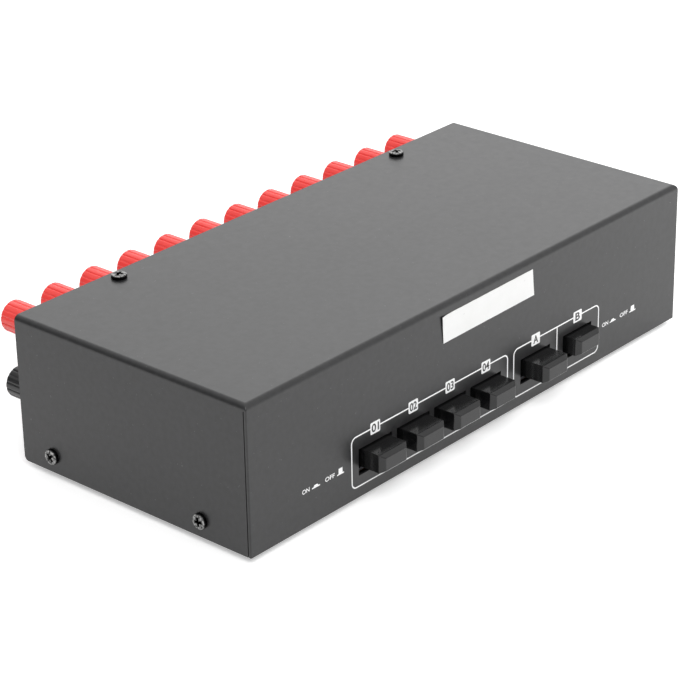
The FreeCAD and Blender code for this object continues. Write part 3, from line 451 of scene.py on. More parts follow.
# %% Tape, ink and board
def make_flat(name, colour, other, roughness, grain):
    finish = start_material(name, colour, roughness)
    tree = finish.node_tree
    mottle(finish, other, noise(tree, 5 * MM, 4.0), amount=0.7)
    vary_gloss(finish, noise(tree, 2 * MM, 3.0), roughness - 0.08, roughness + 0.08)
    relief(finish, noise(tree, grain, 2.0), depth=0.01 * MM, strength=0.6)
    return finish


tape_white = make_flat("tape_white", (0.84, 0.84, 0.835), (0.79, 0.79, 0.78), 0.35, 2.5 * MM)
white_ink = make_flat("white_ink", (0.97, 0.97, 0.97), (0.92, 0.92, 0.92), 0.55, 0.2 * MM)
dark_ink = make_flat("dark_ink", (0.045, 0.045, 0.047), (0.06, 0.06, 0.06), 0.55, 0.2 * MM)
resin_board = make_flat("resin_board", (0.17, 0.085, 0.035), (0.13, 0.065, 0.026), 0.5, 0.4 * MM)
print("four flat finishes")

# %% [markdown]
# ## Helpers for pieces
#
# A finished piece is an object at the origin, riding on a body of the frame. Smooth
# shading with sharp creases suits machined and moulded parts, and a narrow bevel lets
# every edge catch light. The Bevel modifier does that best at the end, because it rounds
# each sharp edge by the same width, also where a wall has been cut.

# %% Helpers for pieces
CREASE = math.radians(32)


def add_piece(bm, name, material, body="case", stands_for=()):
    """Turn a bmesh into a piece that rides on a body and stands for parts of the frame."""
    mesh = as_mesh(bm, name)
    mesh.shade_smooth()
    mesh.set_sharp_from_angle(angle=CREASE)
    mesh.materials.append(material)
    piece = add_object(name, mesh)
    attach(piece, body)
    if stands_for:
        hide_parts(*stands_for)
    return piece


def round_edges(piece, width, segments=2, limit="ANGLE"):
    bevel = piece.modifiers.new("rounded_edges", "BEVEL")
    bevel.width = width
    bevel.segments = segments
    bevel.limit_method = limit
    bevel.angle_limit = CREASE
    bevel.harden_normals = True


def block(bm, low, high):
    """A box between two corners; returns its vertices."""
    made = bmesh.ops.create_cube(bm, size=1.0)["verts"]
    low, high = Vector(low), Vector(high)
    bmesh.ops.scale(bm, vec=high - low, verts=made)
    bmesh.ops.translate(bm, vec=(low + high) / 2, verts=made)
    return made


def rotate(bm, verts, angle, axis):
    """Turn vertices about an axis through the origin."""
    bmesh.ops.rotate(bm, cent=(0, 0, 0), matrix=Matrix.Rotation(angle, 3, axis), verts=verts)


def face_outwards(shape):
    bmesh.ops.recalc_face_normals(shape, faces=shape.faces)


def turn_profile(bm, points, steps):
    """Spin a profile of (radius, height) points once round the Z axis."""
    rim = [bm.verts.new((radius, 0, height)) for radius, height in points]
    edges = [bm.edges.new(pair) for pair in zip(rim, rim[1:])]
    bmesh.ops.spin(bm, geom=rim + edges, cent=(0, 0, 0), axis=(0, 0, 1), dvec=(0, 0, 0),
                   angle=math.tau, steps=steps, use_merge=True, use_duplicate=False)
    bmesh.ops.remove_doubles(bm, verts=bm.verts, dist=MERGE)
    face_outwards(bm)


def copies(source, matrices):
    """One bmesh with a copy of the source for each matrix."""
    whole = bmesh.new()
    stamp = as_mesh(source, "stamp")
    for matrix in matrices:
        moved = stamp.copy()
        moved.transform(matrix)
        whole.from_mesh(moved)
        bpy.data.meshes.remove(moved)
    bpy.data.meshes.remove(stamp)
    return whole


print("helpers ready")

# %% [markdown]
# ## The cover
#
# The cover is one sheet, folded down at the front and at both sides. It could be cut
# out of a solid with booleans. Here it is made as a metalworker would: first the folded
# surface without thickness, then the cuts, and last the thickness of the sheet.
#
# A cube gives the flat walls, and a bevel of the three upper edges makes the bends. The
# back and the bottom are taken off.

# %% Fold the cover
BEND = 2.3 * MM
BEND_STEPS = 10
TINY = 0.01 * MM
ALIGNED = 0.999

cover = bmesh.new()
block(cover, cover_low, cover_high)


def is_bend(edge):
    upper = all(abs(vert.co.z - TOP_Z) < TINY for vert in edge.verts)
    rear = all(abs(vert.co.y - REAR_Y) < TINY for vert in edge.verts)
    return upper and not rear


bmesh.ops.bevel(cover, geom=[edge for edge in cover.edges if is_bend(edge)], offset=BEND,
                offset_type="OFFSET", segments=BEND_STEPS, profile=0.5, affect="EDGES", material=-1)
cover.normal_update()
open_sides = [face for face in cover.faces if face.normal.y > ALIGNED or face.normal.z < -ALIGNED]
bmesh.ops.delete(cover, geom=open_sides, context="FACES")
print(len(cover.faces), "faces in the folded cover")

# %% [markdown]
# Each straight cut is four planes that slice one wall, and then the faces inside are
# deleted. That keeps every face flat. The front has six openings for the buttons, and
# each side has a thin slit, where the side flap meets the folded front. The lower rear
# corners of the flaps are rounded off with a vertex bevel.

# %% Cut the openings and the slits
OPENING_WIDTH, OPENING_HEIGHT = 18.6 * MM, 10.6 * MM
OPENING_BASE = BASE_Z + 8.7 * MM
SLIT = 0.4 * MM
FLAP_CORNER, FLAP_STEPS = 1.8 * MM, 6
BUTTON_NAMES = ["input_1", "input_2", "input_3", "input_4", "output_a", "output_b"]


def middle_of(node):
    low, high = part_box(node)
    return (low + high) / 2


BUTTON_X = {name: middle_of(f"button_{name}").x for name in BUTTON_NAMES}


def cut_window(bm, normal, low, high):
    """Remove the part of the walls with this normal that lies between two corners."""
    across = [axis for axis in range(3) if normal[axis] == 0]

    def on_wall():
        return [face for face in bm.faces if face.normal.dot(normal) > ALIGNED]

    for axis in across:
        plane = Vector((0, 0, 0))
        plane[axis] = 1
        for limit in (low[axis], high[axis]):
            walls = on_wall()
            edges = list({edge for face in walls for edge in face.edges})
            verts = list({vert for face in walls for vert in face.verts})
            bmesh.ops.bisect_plane(bm, geom=walls + edges + verts, dist=MERGE,
                                   plane_co=plane * limit, plane_no=plane)
            bm.normal_update()

    def inside(point):
        return all(low[axis] < point[axis] < high[axis] for axis in across)

    gone = [face for face in on_wall() if inside(face.calc_center_median())]
    bmesh.ops.delete(bm, geom=gone, context="FACES")


front_normal = Vector((0, -1, 0))
for x in BUTTON_X.values():
    cut_window(cover, front_normal,
               (x - OPENING_WIDTH / 2, 0, OPENING_BASE),
               (x + OPENING_WIDTH / 2, 0, OPENING_BASE + OPENING_HEIGHT))
for side in (-1, 1):
    cut_window(cover, Vector((side, 0, 0)),
               (0, FRONT_Y + SHEET, BASE_Z - MM),
               (0, FRONT_Y + SHEET + SLIT, TOP_Z - BEND))

flap_corners = [vert for vert in cover.verts
                if abs(vert.co.z - BASE_Z) < TINY and abs(vert.co.y - REAR_Y) < TINY]
bmesh.ops.bevel(cover, geom=flap_corners, offset=FLAP_CORNER, offset_type="OFFSET",
                segments=FLAP_STEPS, profile=0.5, affect="VERTICES", material=-1)
print(len(BUTTON_X), "openings,", len(flap_corners), "rounded corners")

# %% [markdown]
# Now the surface gets its thickness, inwards, so the outside keeps its size. At the front
# corners the bends of two walls meet. Folding leaves a small knuckle there, so the edge
# that runs down from it is rounded more than the others. A bevel weight marks that edge.
# Beside the slit the panel's cut edge is just as wide as the sheet is thick, so its inner
# side has no width, and merging doubled vertices takes that side away.

# %% Thicken the cover
KNUCKLE, COVER_EDGE = 0.5 * MM, 0.14 * MM


def on_corner(vert):
    """Whether a vertex is on the outside, on the line where the front meets a side."""
    from_side = min(vert.co.x - LEFT_X, RIGHT_X - vert.co.x)
    from_top = TOP_Z - vert.co.z
    from_axis = math.hypot(max(0, BEND - from_side), max(0, BEND - from_top))
    return from_axis > BEND - SHEET / 2 and abs(from_side - (vert.co.y - FRONT_Y)) < TINY


face_outwards(cover)
top_face = max(cover.faces, key=lambda face: face.calc_area())
if top_face.normal.z < 0:
    bmesh.ops.reverse_faces(cover, faces=cover.faces)
bmesh.ops.solidify(cover, geom=list(cover.faces), thickness=SHEET)
bmesh.ops.remove_doubles(cover, verts=cover.verts, dist=MERGE)
bevel_weight = cover.edges.layers.float.new("bevel_weight_edge")
marked = 0
for edge in cover.edges:
    first, last = edge.verts
    if on_corner(first) and on_corner(last) and abs(first.co.x - last.co.x) < BEND:
        edge[bevel_weight] = 1.0
        marked += 1
print(marked, "edges marked at the front corners")
painted_cover = add_piece(cover, "painted_cover", paint, stands_for=["cover"])
round_edges(painted_cover, KNUCKLE, segments=4, limit="WEIGHT")
round_edges(painted_cover, COVER_EDGE)
low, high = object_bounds()
print("cover made; the object is", [round(value / MM, 2) for value in high - low], "mm")

# %% [markdown]
# ## Parts that keep their shape
#
# The chassis, the collars and the feet have the right shape already. The frame's meshes
# are loose triangles and are never changed, so a copy is merged, its flat areas are
# joined into whole faces, and then it can have rounded edges like the rest.

# %% Soften the edges of carried-over parts
def soften(node, name, material, width):
    source = bmesh.new()
    source.from_mesh(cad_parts[node].data)
    bmesh.ops.remove_doubles(source, verts=source.verts, dist=MERGE)
    bmesh.ops.dissolve_limit(source, angle_limit=math.radians(0.5), verts=source.verts,
                             edges=source.edges, use_dissolve_boundaries=False)
    piece = add_piece(source, name, material, stands_for=[node])
    round_edges(piece, width)


soften("chassis", "painted_chassis", paint, width=0.12 * MM)
soften("red_collars", "red_collar_set", red_plastic, width=0.3 * MM)
soften("black_collars", "black_collar_set", black_plastic, width=0.3 * MM)
soften("rubber_feet", "soft_feet", rubber, width=0.5 * MM)
print("four parts softened")

# %% [markdown]
# ## The buttons
#
# Each button is a block whose face stands out of a sloping border, which is narrowest
# below. An extrusion of the front face that is moved forwards and scaled makes border and
# face in one step. The same trick with the rear face, first scaled and then pushed
# inwards, makes the socket for the stem. A rounded edge of about a quarter millimetre
# gives the highlights of moulded plastic.

# %% Mould the buttons
FACE_RISE = 1.7 * MM
BORDER_SIDE, BORDER_TOP, BORDER_BOTTOM = 1.9 * MM, 1.2 * MM, 0.8 * MM
STEM_WIDTH, STEM_HEIGHT, STEM_DEPTH = 4.0 * MM, 3.0 * MM, 5.0 * MM
BUTTON_EDGE = 0.28 * MM


def push_face(bm, face, scale, shift):
    """Extrude a face, scale it about its own middle and shift it."""
    middle = face.calc_center_median()
    new_face = bmesh.ops.extrude_discrete_faces(bm, faces=[face])["faces"][0]
    bmesh.ops.scale(bm, vec=scale, verts=new_face.verts, space=Matrix.Translation(-middle))
    bmesh.ops.translate(bm, vec=shift, verts=new_face.verts)
    return new_face


def make_button(name):
    low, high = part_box(f"button_{name}")
    size = high - low
    bm = bmesh.new()
    block(bm, low + Vector((0, FACE_RISE, 0)), high)
    bm.normal_update()
    front = min(bm.faces, key=lambda face: face.normal.y)
    rear = max(bm.faces, key=lambda face: face.normal.y)
    push_face(bm, front,
              ((size.x - 2 * BORDER_SIDE) / size.x, 1, (size.z - BORDER_TOP - BORDER_BOTTOM) / size.z),
              (0, -FACE_RISE, (BORDER_BOTTOM - BORDER_TOP) / 2))
    rim = push_face(bm, rear, (STEM_WIDTH / size.x, 1, STEM_HEIGHT / size.z), (0, 0, 0))
    push_face(bm, rim, (1, 1, 1), (0, -STEM_DEPTH, 0))
    face_outwards(bm)
    button = add_piece(bm, f"push_{name}", button_plastic, body=f"button_{name}",
                       stands_for=[f"button_{name}"])
    round_edges(button, BUTTON_EDGE, segments=4)


for button_name in BUTTON_NAMES:
    make_button(button_name)
print(len(BUTTON_NAMES), "buttons")

# %% [markdown]
# Behind each button a coil spring sits round the stem. A coil is a small circle swept
# along a helix. The spin operator can do that: besides turning, it can step forward a
# little each time. Here two turns lay the circle along its path, so the sweep leaves a
# flat band, which the closed case hides. Without them the wire would be round. When a
# button moves, its spring has to shorten, so it isn't tied to one body.

# %% Wind the springs
SPRING_RADIUS = 3.05 * MM
WIRE_RADIUS = 0.26 * MM
SPRING_TURNS = 3.5
STEPS_PER_TURN = 20


def wind_spring(name):
    low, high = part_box(f"spring_{name}")
    middle = (low + high) / 2
    length = high.y - low.y - 2 * WIRE_RADIUS
    steps = int(SPRING_TURNS * STEPS_PER_TURN)
    bm = bmesh.new()
    wire = bmesh.ops.create_circle(bm, segments=8, radius=WIRE_RADIUS, cap_ends=True)["verts"]
    start = Vector((middle.x + SPRING_RADIUS, low.y + WIRE_RADIUS, middle.z))
    bmesh.ops.translate(bm, vec=start, verts=wire)
    bmesh.ops.rotate(bm, cent=start, matrix=Matrix.Rotation(math.pi / 2, 3, "Z") @
                     Matrix.Rotation(math.pi / 2, 3, "Y"), verts=wire)
    bmesh.ops.rotate(bm, cent=start, matrix=Matrix.Rotation(math.pi / 2, 3, "Z"), verts=wire)
    bmesh.ops.spin(bm, geom=bm.verts[:] + bm.edges[:] + bm.faces[:], cent=(middle.x, 0, middle.z),
                   axis=(0, 1, 0), dvec=(0, length / steps, 0), angle=SPRING_TURNS * math.tau,
                   steps=steps, use_merge=False, use_duplicate=False)
    face_outwards(bm)
    mesh = as_mesh(bm, f"coil_{name}")
    mesh.shade_smooth()
    mesh.materials.append(spring_steel)
    coil = add_object(f"coil_{name}", mesh)
    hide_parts(f"spring_{name}")
    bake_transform(coil)


for button_name in BUTTON_NAMES:
    wind_spring(button_name)
print("springs of", SPRING_TURNS, "turns")

# %% [markdown]
# ## The cover screws
#
# A pan-head screw is round, so its head is a profile that is spun. The cross in it is
# cut with booleans, because its four slots meet in a way that no spin gives. The cutter
# is a bar that narrows downwards, used twice, the second time turned by a right angle.

# %% Turn one screw
screws_low, screws_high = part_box("cover_screws")
HEAD_RADIUS, HEAD_HEIGHT = 3.1 * MM, screws_high.z - TOP_Z
HEAD_DOME, HEAD_SHOULDER = 0.25 * MM, 0.5 * MM
SHANK_RADIUS, SHANK_LENGTH = 1.5 * MM, 6.0 * MM
TIP_LENGTH, TIP_SHARE = 1.0 * MM, 0.5
CROSS_LENGTH, CROSS_WIDTH, CROSS_DEPTH = 4.3 * MM, 1.2 * MM, 1.3 * MM
CROSS_TAPER = (0.7, 0.85, 1)
HEAD_STEPS, DOME_STEPS, SHOULDER_STEPS = 40, 4, 6


def head_profile():
    """From the middle of the head outwards and down to the tip of the shank."""
    flat = HEAD_RADIUS - HEAD_SHOULDER
    rim_height = HEAD_HEIGHT - HEAD_DOME
    points = []
    for step in range(DOME_STEPS + 1):
        share = step / DOME_STEPS
        points.append((flat * share, HEAD_HEIGHT - HEAD_DOME * share ** 2))
    for step in range(1, SHOULDER_STEPS + 1):
        turn = step / SHOULDER_STEPS * math.pi / 2
        points.append((flat + HEAD_SHOULDER * math.sin(turn),
                       rim_height - HEAD_SHOULDER * (1 - math.cos(turn))))
    points += [(HEAD_RADIUS, 0), (SHANK_RADIUS, 0), (SHANK_RADIUS, -SHANK_LENGTH + TIP_LENGTH),
               (SHANK_RADIUS * TIP_SHARE, -SHANK_LENGTH), (0, -SHANK_LENGTH)]
    return points


def carve(bm, cutters):
    """Cut other meshes out of a bmesh with Boolean modifiers and return the result."""
    blank = add_object("carved", as_mesh(bm, "carved"))
    tools = []
    for cutter in cutters:
        tool = add_object("cutter", as_mesh(cutter, "cutter"))
        cut = blank.modifiers.new("cut", "BOOLEAN")
        cut.object = tool
        cut.operation = "DIFFERENCE"
        cut.solver = "EXACT"
        tools.append(tool)
    settled = blank.evaluated_get(bpy.context.evaluated_depsgraph_get())
    result = bmesh.new()
    result.from_mesh(settled.to_mesh())
    for item in [blank, *tools]:
        bpy.data.objects.remove(item)
    return result


def make_cross_bar(turn):
    bar = bmesh.new()
    verts = block(bar, (-CROSS_LENGTH / 2, -CROSS_WIDTH / 2, HEAD_HEIGHT - CROSS_DEPTH),
                  (CROSS_LENGTH / 2, CROSS_WIDTH / 2, HEAD_HEIGHT + MM))
    lower = [vert for vert in verts if vert.co.z < HEAD_HEIGHT]
    bmesh.ops.scale(bar, vec=CROSS_TAPER, verts=lower)
    rotate(bar, verts, turn, "Z")
    return bar


screw = bmesh.new()
turn_profile(screw, head_profile(), HEAD_STEPS)
screw = carve(screw, [make_cross_bar(0), make_cross_bar(math.pi / 2)])
print(len(screw.faces), "faces in a screw")

# %% [markdown]
# Each vertex of the screw gets its wear: all of it on the rim, where the top of the head
# turns into its side, a little on the flat top, and none on the side, the shank or the
# bottom of the cross.

# %% Wear the screw and put six in place
FLAT_WEAR, RIM_WEAR = 0.24, 0.36
WEAR_START, WEAR_END = 0.72, 0.84
TOP_SCREW_X = (-79.3 * MM, 81.5 * MM)
REAR_ROW = 15.8 * MM
FIRST_TWIST, MORE_TWIST = 23, 37


def wear_at(share):
    """None up to WEAR_START of the head's radius or height, and all of it from WEAR_END."""
    return max(0.0, min(1.0, (share - WEAR_START) / (WEAR_END - WEAR_START)))


def paint_wear(bm):
    layer = bm.verts.layers.float.new("wear")
    for vert in bm.verts:
        above_side = wear_at(vert.co.z / HEAD_HEIGHT)
        on_rim = wear_at(math.hypot(vert.co.x, vert.co.y) / HEAD_RADIUS)
        vert[layer] = above_side * (FLAT_WEAR + (RIM_WEAR - FLAT_WEAR) * on_rim)


def screw_places():
    """Where each screw's head sits, and the way that it points."""
    top_y, side_z = screws_high.y - HEAD_RADIUS, screws_low.z + HEAD_RADIUS
    spots = [((x, top_y, TOP_Z), (0, 0, 1)) for x in TOP_SCREW_X]
    rows = (screws_low.y + HEAD_RADIUS, REAR_Y - REAR_ROW)
    spots += [((side * RIGHT_X, y, side_z), (side, 0, 0)) for side in (-1, 1) for y in rows]
    return spots


paint_wear(screw)
matrices = []
for index, (spot, outwards) in enumerate(screw_places()):
    stand = Vector(outwards).to_track_quat("Z", "Y").to_matrix().to_4x4()
    twist = Matrix.Rotation(math.radians(FIRST_TWIST + MORE_TWIST * index), 4, "Z")
    matrices.append(Matrix.Translation(spot) @ stand @ twist)
add_piece(copies(screw, matrices), "blackened_screws", screw_black,
          stands_for=["cover_screws"])
print(len(matrices), "screws")

# %% [markdown]
# ## The binding posts
#
# The caps are round with narrow flutes all along them. A circle with many segments is
# the start. At every flute three neighbouring points are pulled inwards, the middle one
# by far the most, so the outline between the flutes stays round. The outline is then
# extruded ring by ring: along the side, over the rounded rim, across the end and down
# the bore. One cap is modelled, and 24 copies are placed by the frame's own caps.

# %% Model one cap
GROOVES = 15
POINTS_PER_GROOVE = 10
GROOVE_SHAPE = {9: 0.3, 0: 1.0, 1: 0.3}
GROOVE_DEPTH, GROOVE_START = 0.3 * MM, 0.6 * MM
FOOT_INSET, FOOT_HEIGHT = 0.4 * MM, 0.25 * MM
RIM, BELOW_RIM, RIM_STEPS = 0.9 * MM, 0.2 * MM, 4
BORE_RADIUS, BORE_MOUTH = 3.1 * MM, 0.3 * MM
cap_low, cap_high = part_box("red_cap_01")
CAP_RADIUS = (cap_high.x - cap_low.x) / 2
CAP_LENGTH = cap_high.y - cap_low.y


def next_ring(bm, ring, radius, height, groove):
    """Extrude a ring of vertices to a new radius and height, with flutes of a given depth."""
    edges = [edge for edge in bm.edges
             if edge.verts[0] in ring and edge.verts[1] in ring and not edge.is_manifold]
    made = bmesh.ops.extrude_edge_only(bm, edges=edges)["geom"]
    new_ring = [item for item in made if isinstance(item, bmesh.types.BMVert)]
    for vert in new_ring:
        turn = math.atan2(vert.co.x, vert.co.z)
        index = round(turn / math.tau * GROOVES * POINTS_PER_GROOVE) % POINTS_PER_GROOVE
        reach = radius - groove * GROOVE_SHAPE.get(index, 0)
        vert.co = Vector((math.sin(turn) * reach, height, math.cos(turn) * reach))
    return set(new_ring)


def make_cap():
    bm = bmesh.new()
    ring = set(bmesh.ops.create_circle(bm, segments=GROOVES * POINTS_PER_GROOVE,
                                       radius=BORE_RADIUS)["verts"])
    rotate(bm, bm.verts, math.pi / 2, "X")
    ring = next_ring(bm, ring, CAP_RADIUS - FOOT_INSET, 0, 0)
    ring = next_ring(bm, ring, CAP_RADIUS - GROOVE_DEPTH, FOOT_HEIGHT, 0)
    ring = next_ring(bm, ring, CAP_RADIUS, GROOVE_START, GROOVE_DEPTH)
    ring = next_ring(bm, ring, CAP_RADIUS, CAP_LENGTH - RIM - BELOW_RIM, GROOVE_DEPTH)
    for step in range(RIM_STEPS + 1):
        share = step / RIM_STEPS
        turn = share * math.pi / 2
        ring = next_ring(bm, ring, CAP_RADIUS - RIM * (1 - math.cos(turn)),
                         CAP_LENGTH - RIM * (1 - math.sin(turn)), GROOVE_DEPTH * (1 - share))
    ring = next_ring(bm, ring, BORE_RADIUS + BORE_MOUTH, CAP_LENGTH, 0)
    ring = next_ring(bm, ring, BORE_RADIUS, CAP_LENGTH - BORE_MOUTH, 0)
    next_ring(bm, ring, BORE_RADIUS, 0, 0)
    bmesh.ops.remove_doubles(bm, verts=bm.verts, dist=MERGE)
    face_outwards(bm)
    return bm


cap_mesh = as_mesh(make_cap(), "cap_model")
print(len(cap_mesh.polygons), "faces in a cap")

# %% [markdown]
# Each cap rides on a body of its own, because each can be unscrewed. A small turn that
# differs from cap to cap keeps the flutes from standing alike on all of them.

# %% Place the caps
POSTS = 12
CAP_TWIST = 47


def place_cap(colour, number, material):
    node = f"{colour}_cap_{number:02d}"
    low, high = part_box(node)
    cap = bmesh.new()
    cap.from_mesh(cap_mesh)
    turn = math.radians(number * CAP_TWIST % (360 / GROOVES))
    rotate(cap, cap.verts, turn, "Y")
    bmesh.ops.translate(cap, vec=((low.x + high.x) / 2, low.y, (low.z + high.z) / 2),
                        verts=cap.verts)
    add_piece(cap, f"{colour}_grip_{number:02d}", material, body=node,
              stands_for=[node])


for number in range(1, POSTS + 1):
    place_cap("red", number, red_plastic)
    place_cap("black", number, black_plastic)
bpy.data.meshes.remove(cap_mesh)
print(2 * POSTS, "caps")

# %% [markdown]
# Under the caps run threaded studs. A true thread is a helix, but at this size a stack of
# rings looks the same and closes by itself. The profile goes up and down once for each
# turn of the thread, and one spin makes the stud with its bore for a plug.

# %% Cut the threaded studs
stud_low, stud_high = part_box("terminal_studs")
STUD_LENGTH = stud_high.y - stud_low.y
CREST, ROOT = 2.95 * MM, 2.6 * MM
PITCH = 0.8 * MM
CREST_START, CREST_END = PITCH * 0.35, PITCH * 0.5
RUN_OUT, CHAMFER = 0.4 * MM, 0.25 * MM
SOCKET_RADIUS, SOCKET_DEPTH, SOCKET_MOUTH = 2.0 * MM, 13.0 * MM, 0.15 * MM
STUD_STEPS = 20


def stud_profile():
    points = [(0, 0), (ROOT, 0)]
    turns = int(STUD_LENGTH / PITCH) - 1
    for turn in range(turns):
        base = RUN_OUT + turn * PITCH
        points += [(ROOT, base), (CREST, base + CREST_START), (CREST, base + CREST_END)]
    points += [(ROOT, STUD_LENGTH - RUN_OUT), (ROOT - CHAMFER, STUD_LENGTH),
               (SOCKET_RADIUS + SOCKET_MOUTH, STUD_LENGTH), (SOCKET_RADIUS, STUD_LENGTH - CHAMFER),
               (SOCKET_RADIUS, STUD_LENGTH - SOCKET_DEPTH), (0, STUD_LENGTH - SOCKET_DEPTH)]
    return points


stud = bmesh.new()
turn_profile(stud, stud_profile(), STUD_STEPS)
lie_down = Matrix.Rotation(-math.pi / 2, 4, "X")
post_places = [middle_of(f"{colour}_cap_{number:02d}")
               for colour in ("red", "black") for number in range(1, POSTS + 1)]
stud_matrices = [Matrix.Translation((place.x, stud_low.y, place.z)) @ lie_down
                 for place in post_places]
add_piece(copies(stud, stud_matrices), "threaded_studs", brass,
          stands_for=["terminal_studs"])
print(len(stud_matrices), "studs")

# %% [markdown]
# ## The tape on the front
#
# A blank strip of white tape is stuck over the buttons, slightly askew. Its ends were
# cut by hand, at a slant, and its left end has lifted a little where the glue let go.
# A flat strip would do for a new label. For this one a grid has enough points to bend:
# each point is moved by a small function of its place, and solidify adds the thickness.

# %% Stick on the tape
tape_low, tape_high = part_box("label_tape")
TAPE_TILT = math.radians(0.4)
TAPE_WIDTH, TAPE_HEIGHT = 54.5 * MM, 11.0 * MM
TAPE_SLANT = 0.09
TAPE_THICK = 0.12 * MM
LIFT, LIFT_REACH, MIDDLE_LIFT = 0.5 * MM, 6.0 * MM, 0.6
RIPPLE = 0.035 * MM
RIPPLES_ALONG, RIPPLES_UP, RIPPLE_SLANT = 900, 700, 300
TAPE_COLUMNS, TAPE_ROWS = 60, 12


def tape_bulge(across, upwards):
    """How far the tape stands off the panel at a point of the strip."""
    from_end = across + TAPE_WIDTH / 2
    lifted = max(0.0, 1 - from_end / LIFT_REACH) ** 2
    waves = math.sin(across * RIPPLES_ALONG) * math.sin(upwards * RIPPLES_UP + across * RIPPLE_SLANT)
    return lifted * LIFT * (MIDDLE_LIFT + upwards / TAPE_HEIGHT) + RIPPLE * (1 + waves)


tape_middle = (tape_low + tape_high) / 2
tape = bmesh.new()
bmesh.ops.create_grid(tape, x_segments=TAPE_COLUMNS, y_segments=TAPE_ROWS, size=0.5)
bmesh.ops.scale(tape, vec=(TAPE_WIDTH, TAPE_HEIGHT, 1), verts=tape.verts)
for vert in tape.verts:
    across, upwards, _ = vert.co
    vert.co = (across - TAPE_SLANT * upwards, -tape_bulge(across, upwards), upwards)
face_outwards(tape)
bmesh.ops.solidify(tape, geom=list(tape.faces), thickness=TAPE_THICK)
rotate(tape, tape.verts, -TAPE_TILT, "Y")
nearest = max(vert.co.y for vert in tape.verts)
bmesh.ops.translate(tape, vec=(tape_middle.x, FRONT_Y - nearest, tape_middle.z), verts=tape.verts)
add_piece(tape, "tape_strip", tape_white, stands_for=["label_tape"])
print("tape", round(TAPE_WIDTH / MM, 1), "mm long")

# %% [markdown]
# ## The print on the front
#
# Screen printing leaves a film of ink that is a few hundredths of a millimetre thick.
# It could be a texture, but thin meshes stay sharp at any distance. Two frames with
# rounded corners go round the buttons. Each is a flat rectangle whose corner vertices
# are bevelled. An inset then leaves the line, and the middle is deleted.

# %% Print the frames
INK = 0.03 * MM
LINE = 0.55 * MM
CORNER = 2.6 * MM
FRAME_LOW, FRAME_HIGH = BASE_Z + 4.2 * MM, BASE_Z + 25.1 * MM
INPUT_FRAME = (-74.4 * MM, 16.4 * MM)
OUTPUT_FRAME = (19.7 * MM, 74.8 * MM)
DIVIDER_X = 47.3 * MM


def flat_patch(bm, left, right_x, low_z, high_z):
    """A flat rectangle in the plane of the front panel."""
    made = bmesh.ops.create_grid(bm, x_segments=1, y_segments=1, size=0.5)["verts"]
    rotate(bm, made, math.pi / 2, "X")
    bmesh.ops.scale(bm, vec=(right_x - left, 1, high_z - low_z), verts=made)
    bmesh.ops.translate(bm, vec=((left + right_x) / 2, FRONT_Y, (low_z + high_z) / 2), verts=made)


def rounded_patch(bm, left, right_x, low_z, high_z, radius, steps):
    """A flat rectangle with rounded corners; returns its face."""
    before = set(bm.faces)
    flat_patch(bm, left, right_x, low_z, high_z)
    patch = next(face for face in bm.faces if face not in before)
    bmesh.ops.bevel(bm, geom=list(patch.verts), offset=radius, offset_type="OFFSET",
                    segments=steps, profile=0.5, affect="VERTICES", material=-1)
    return max((face for face in bm.faces if face not in before), key=lambda face: face.calc_area())


def add_ink(bm, name, material, height):
    """Give flat patches the thickness of ink, from just inside the panel outwards."""
    face_outwards(bm)
    made = bmesh.ops.extrude_face_region(bm, geom=list(bm.faces))["geom"]
    verts = [item for item in made if isinstance(item, bmesh.types.BMVert)]
    bmesh.ops.translate(bm, vec=(0, -height, 0), verts=verts)
    face_outwards(bm)
    add_piece(bm, name, material)


def frame_line(bm, left, right_x):
    outline = rounded_patch(bm, left, right_x, FRAME_LOW, FRAME_HIGH, radius=CORNER, steps=8)
    bmesh.ops.inset_region(bm, faces=[outline], thickness=LINE, use_even_offset=True,
                           use_boundary=True)
    bmesh.ops.delete(bm, geom=[outline], context="FACES_ONLY")


frames = bmesh.new()
frame_line(frames, *INPUT_FRAME)
frame_line(frames, *OUTPUT_FRAME)
flat_patch(frames, DIVIDER_X - LINE / 2, DIVIDER_X + LINE / 2, FRAME_LOW + LINE, FRAME_HIGH - LINE)
add_ink(frames, "printed_frames", white_ink, INK)
print("two frames and a divider")

# %% [markdown]
# A white badge sits on the frame over each button and carries a plain number or letter
# in dark ink. Blender's text objects make the glyphs. They are turned into a mesh, which
# is scaled to an exact box on the panel, because a font's own size includes room for
# accents and tails.

# %% Print the badges
BADGE_WIDTH, BADGE_HEIGHT, BADGE_CORNER = 5.35 * MM, 4.75 * MM, 0.55 * MM
BADGE_Z = BASE_Z + 24.7 * MM
BADGE_MARKS = {"input_1": "01", "input_2": "02", "input_3": "03", "input_4": "04",
               "output_a": "A", "output_b": "B"}
MARK_WIDTHS = {1: 2.9 * MM, 2: 4.0 * MM}
HALF_MARK = 1.65 * MM
MARK_WEIGHT = 0.022


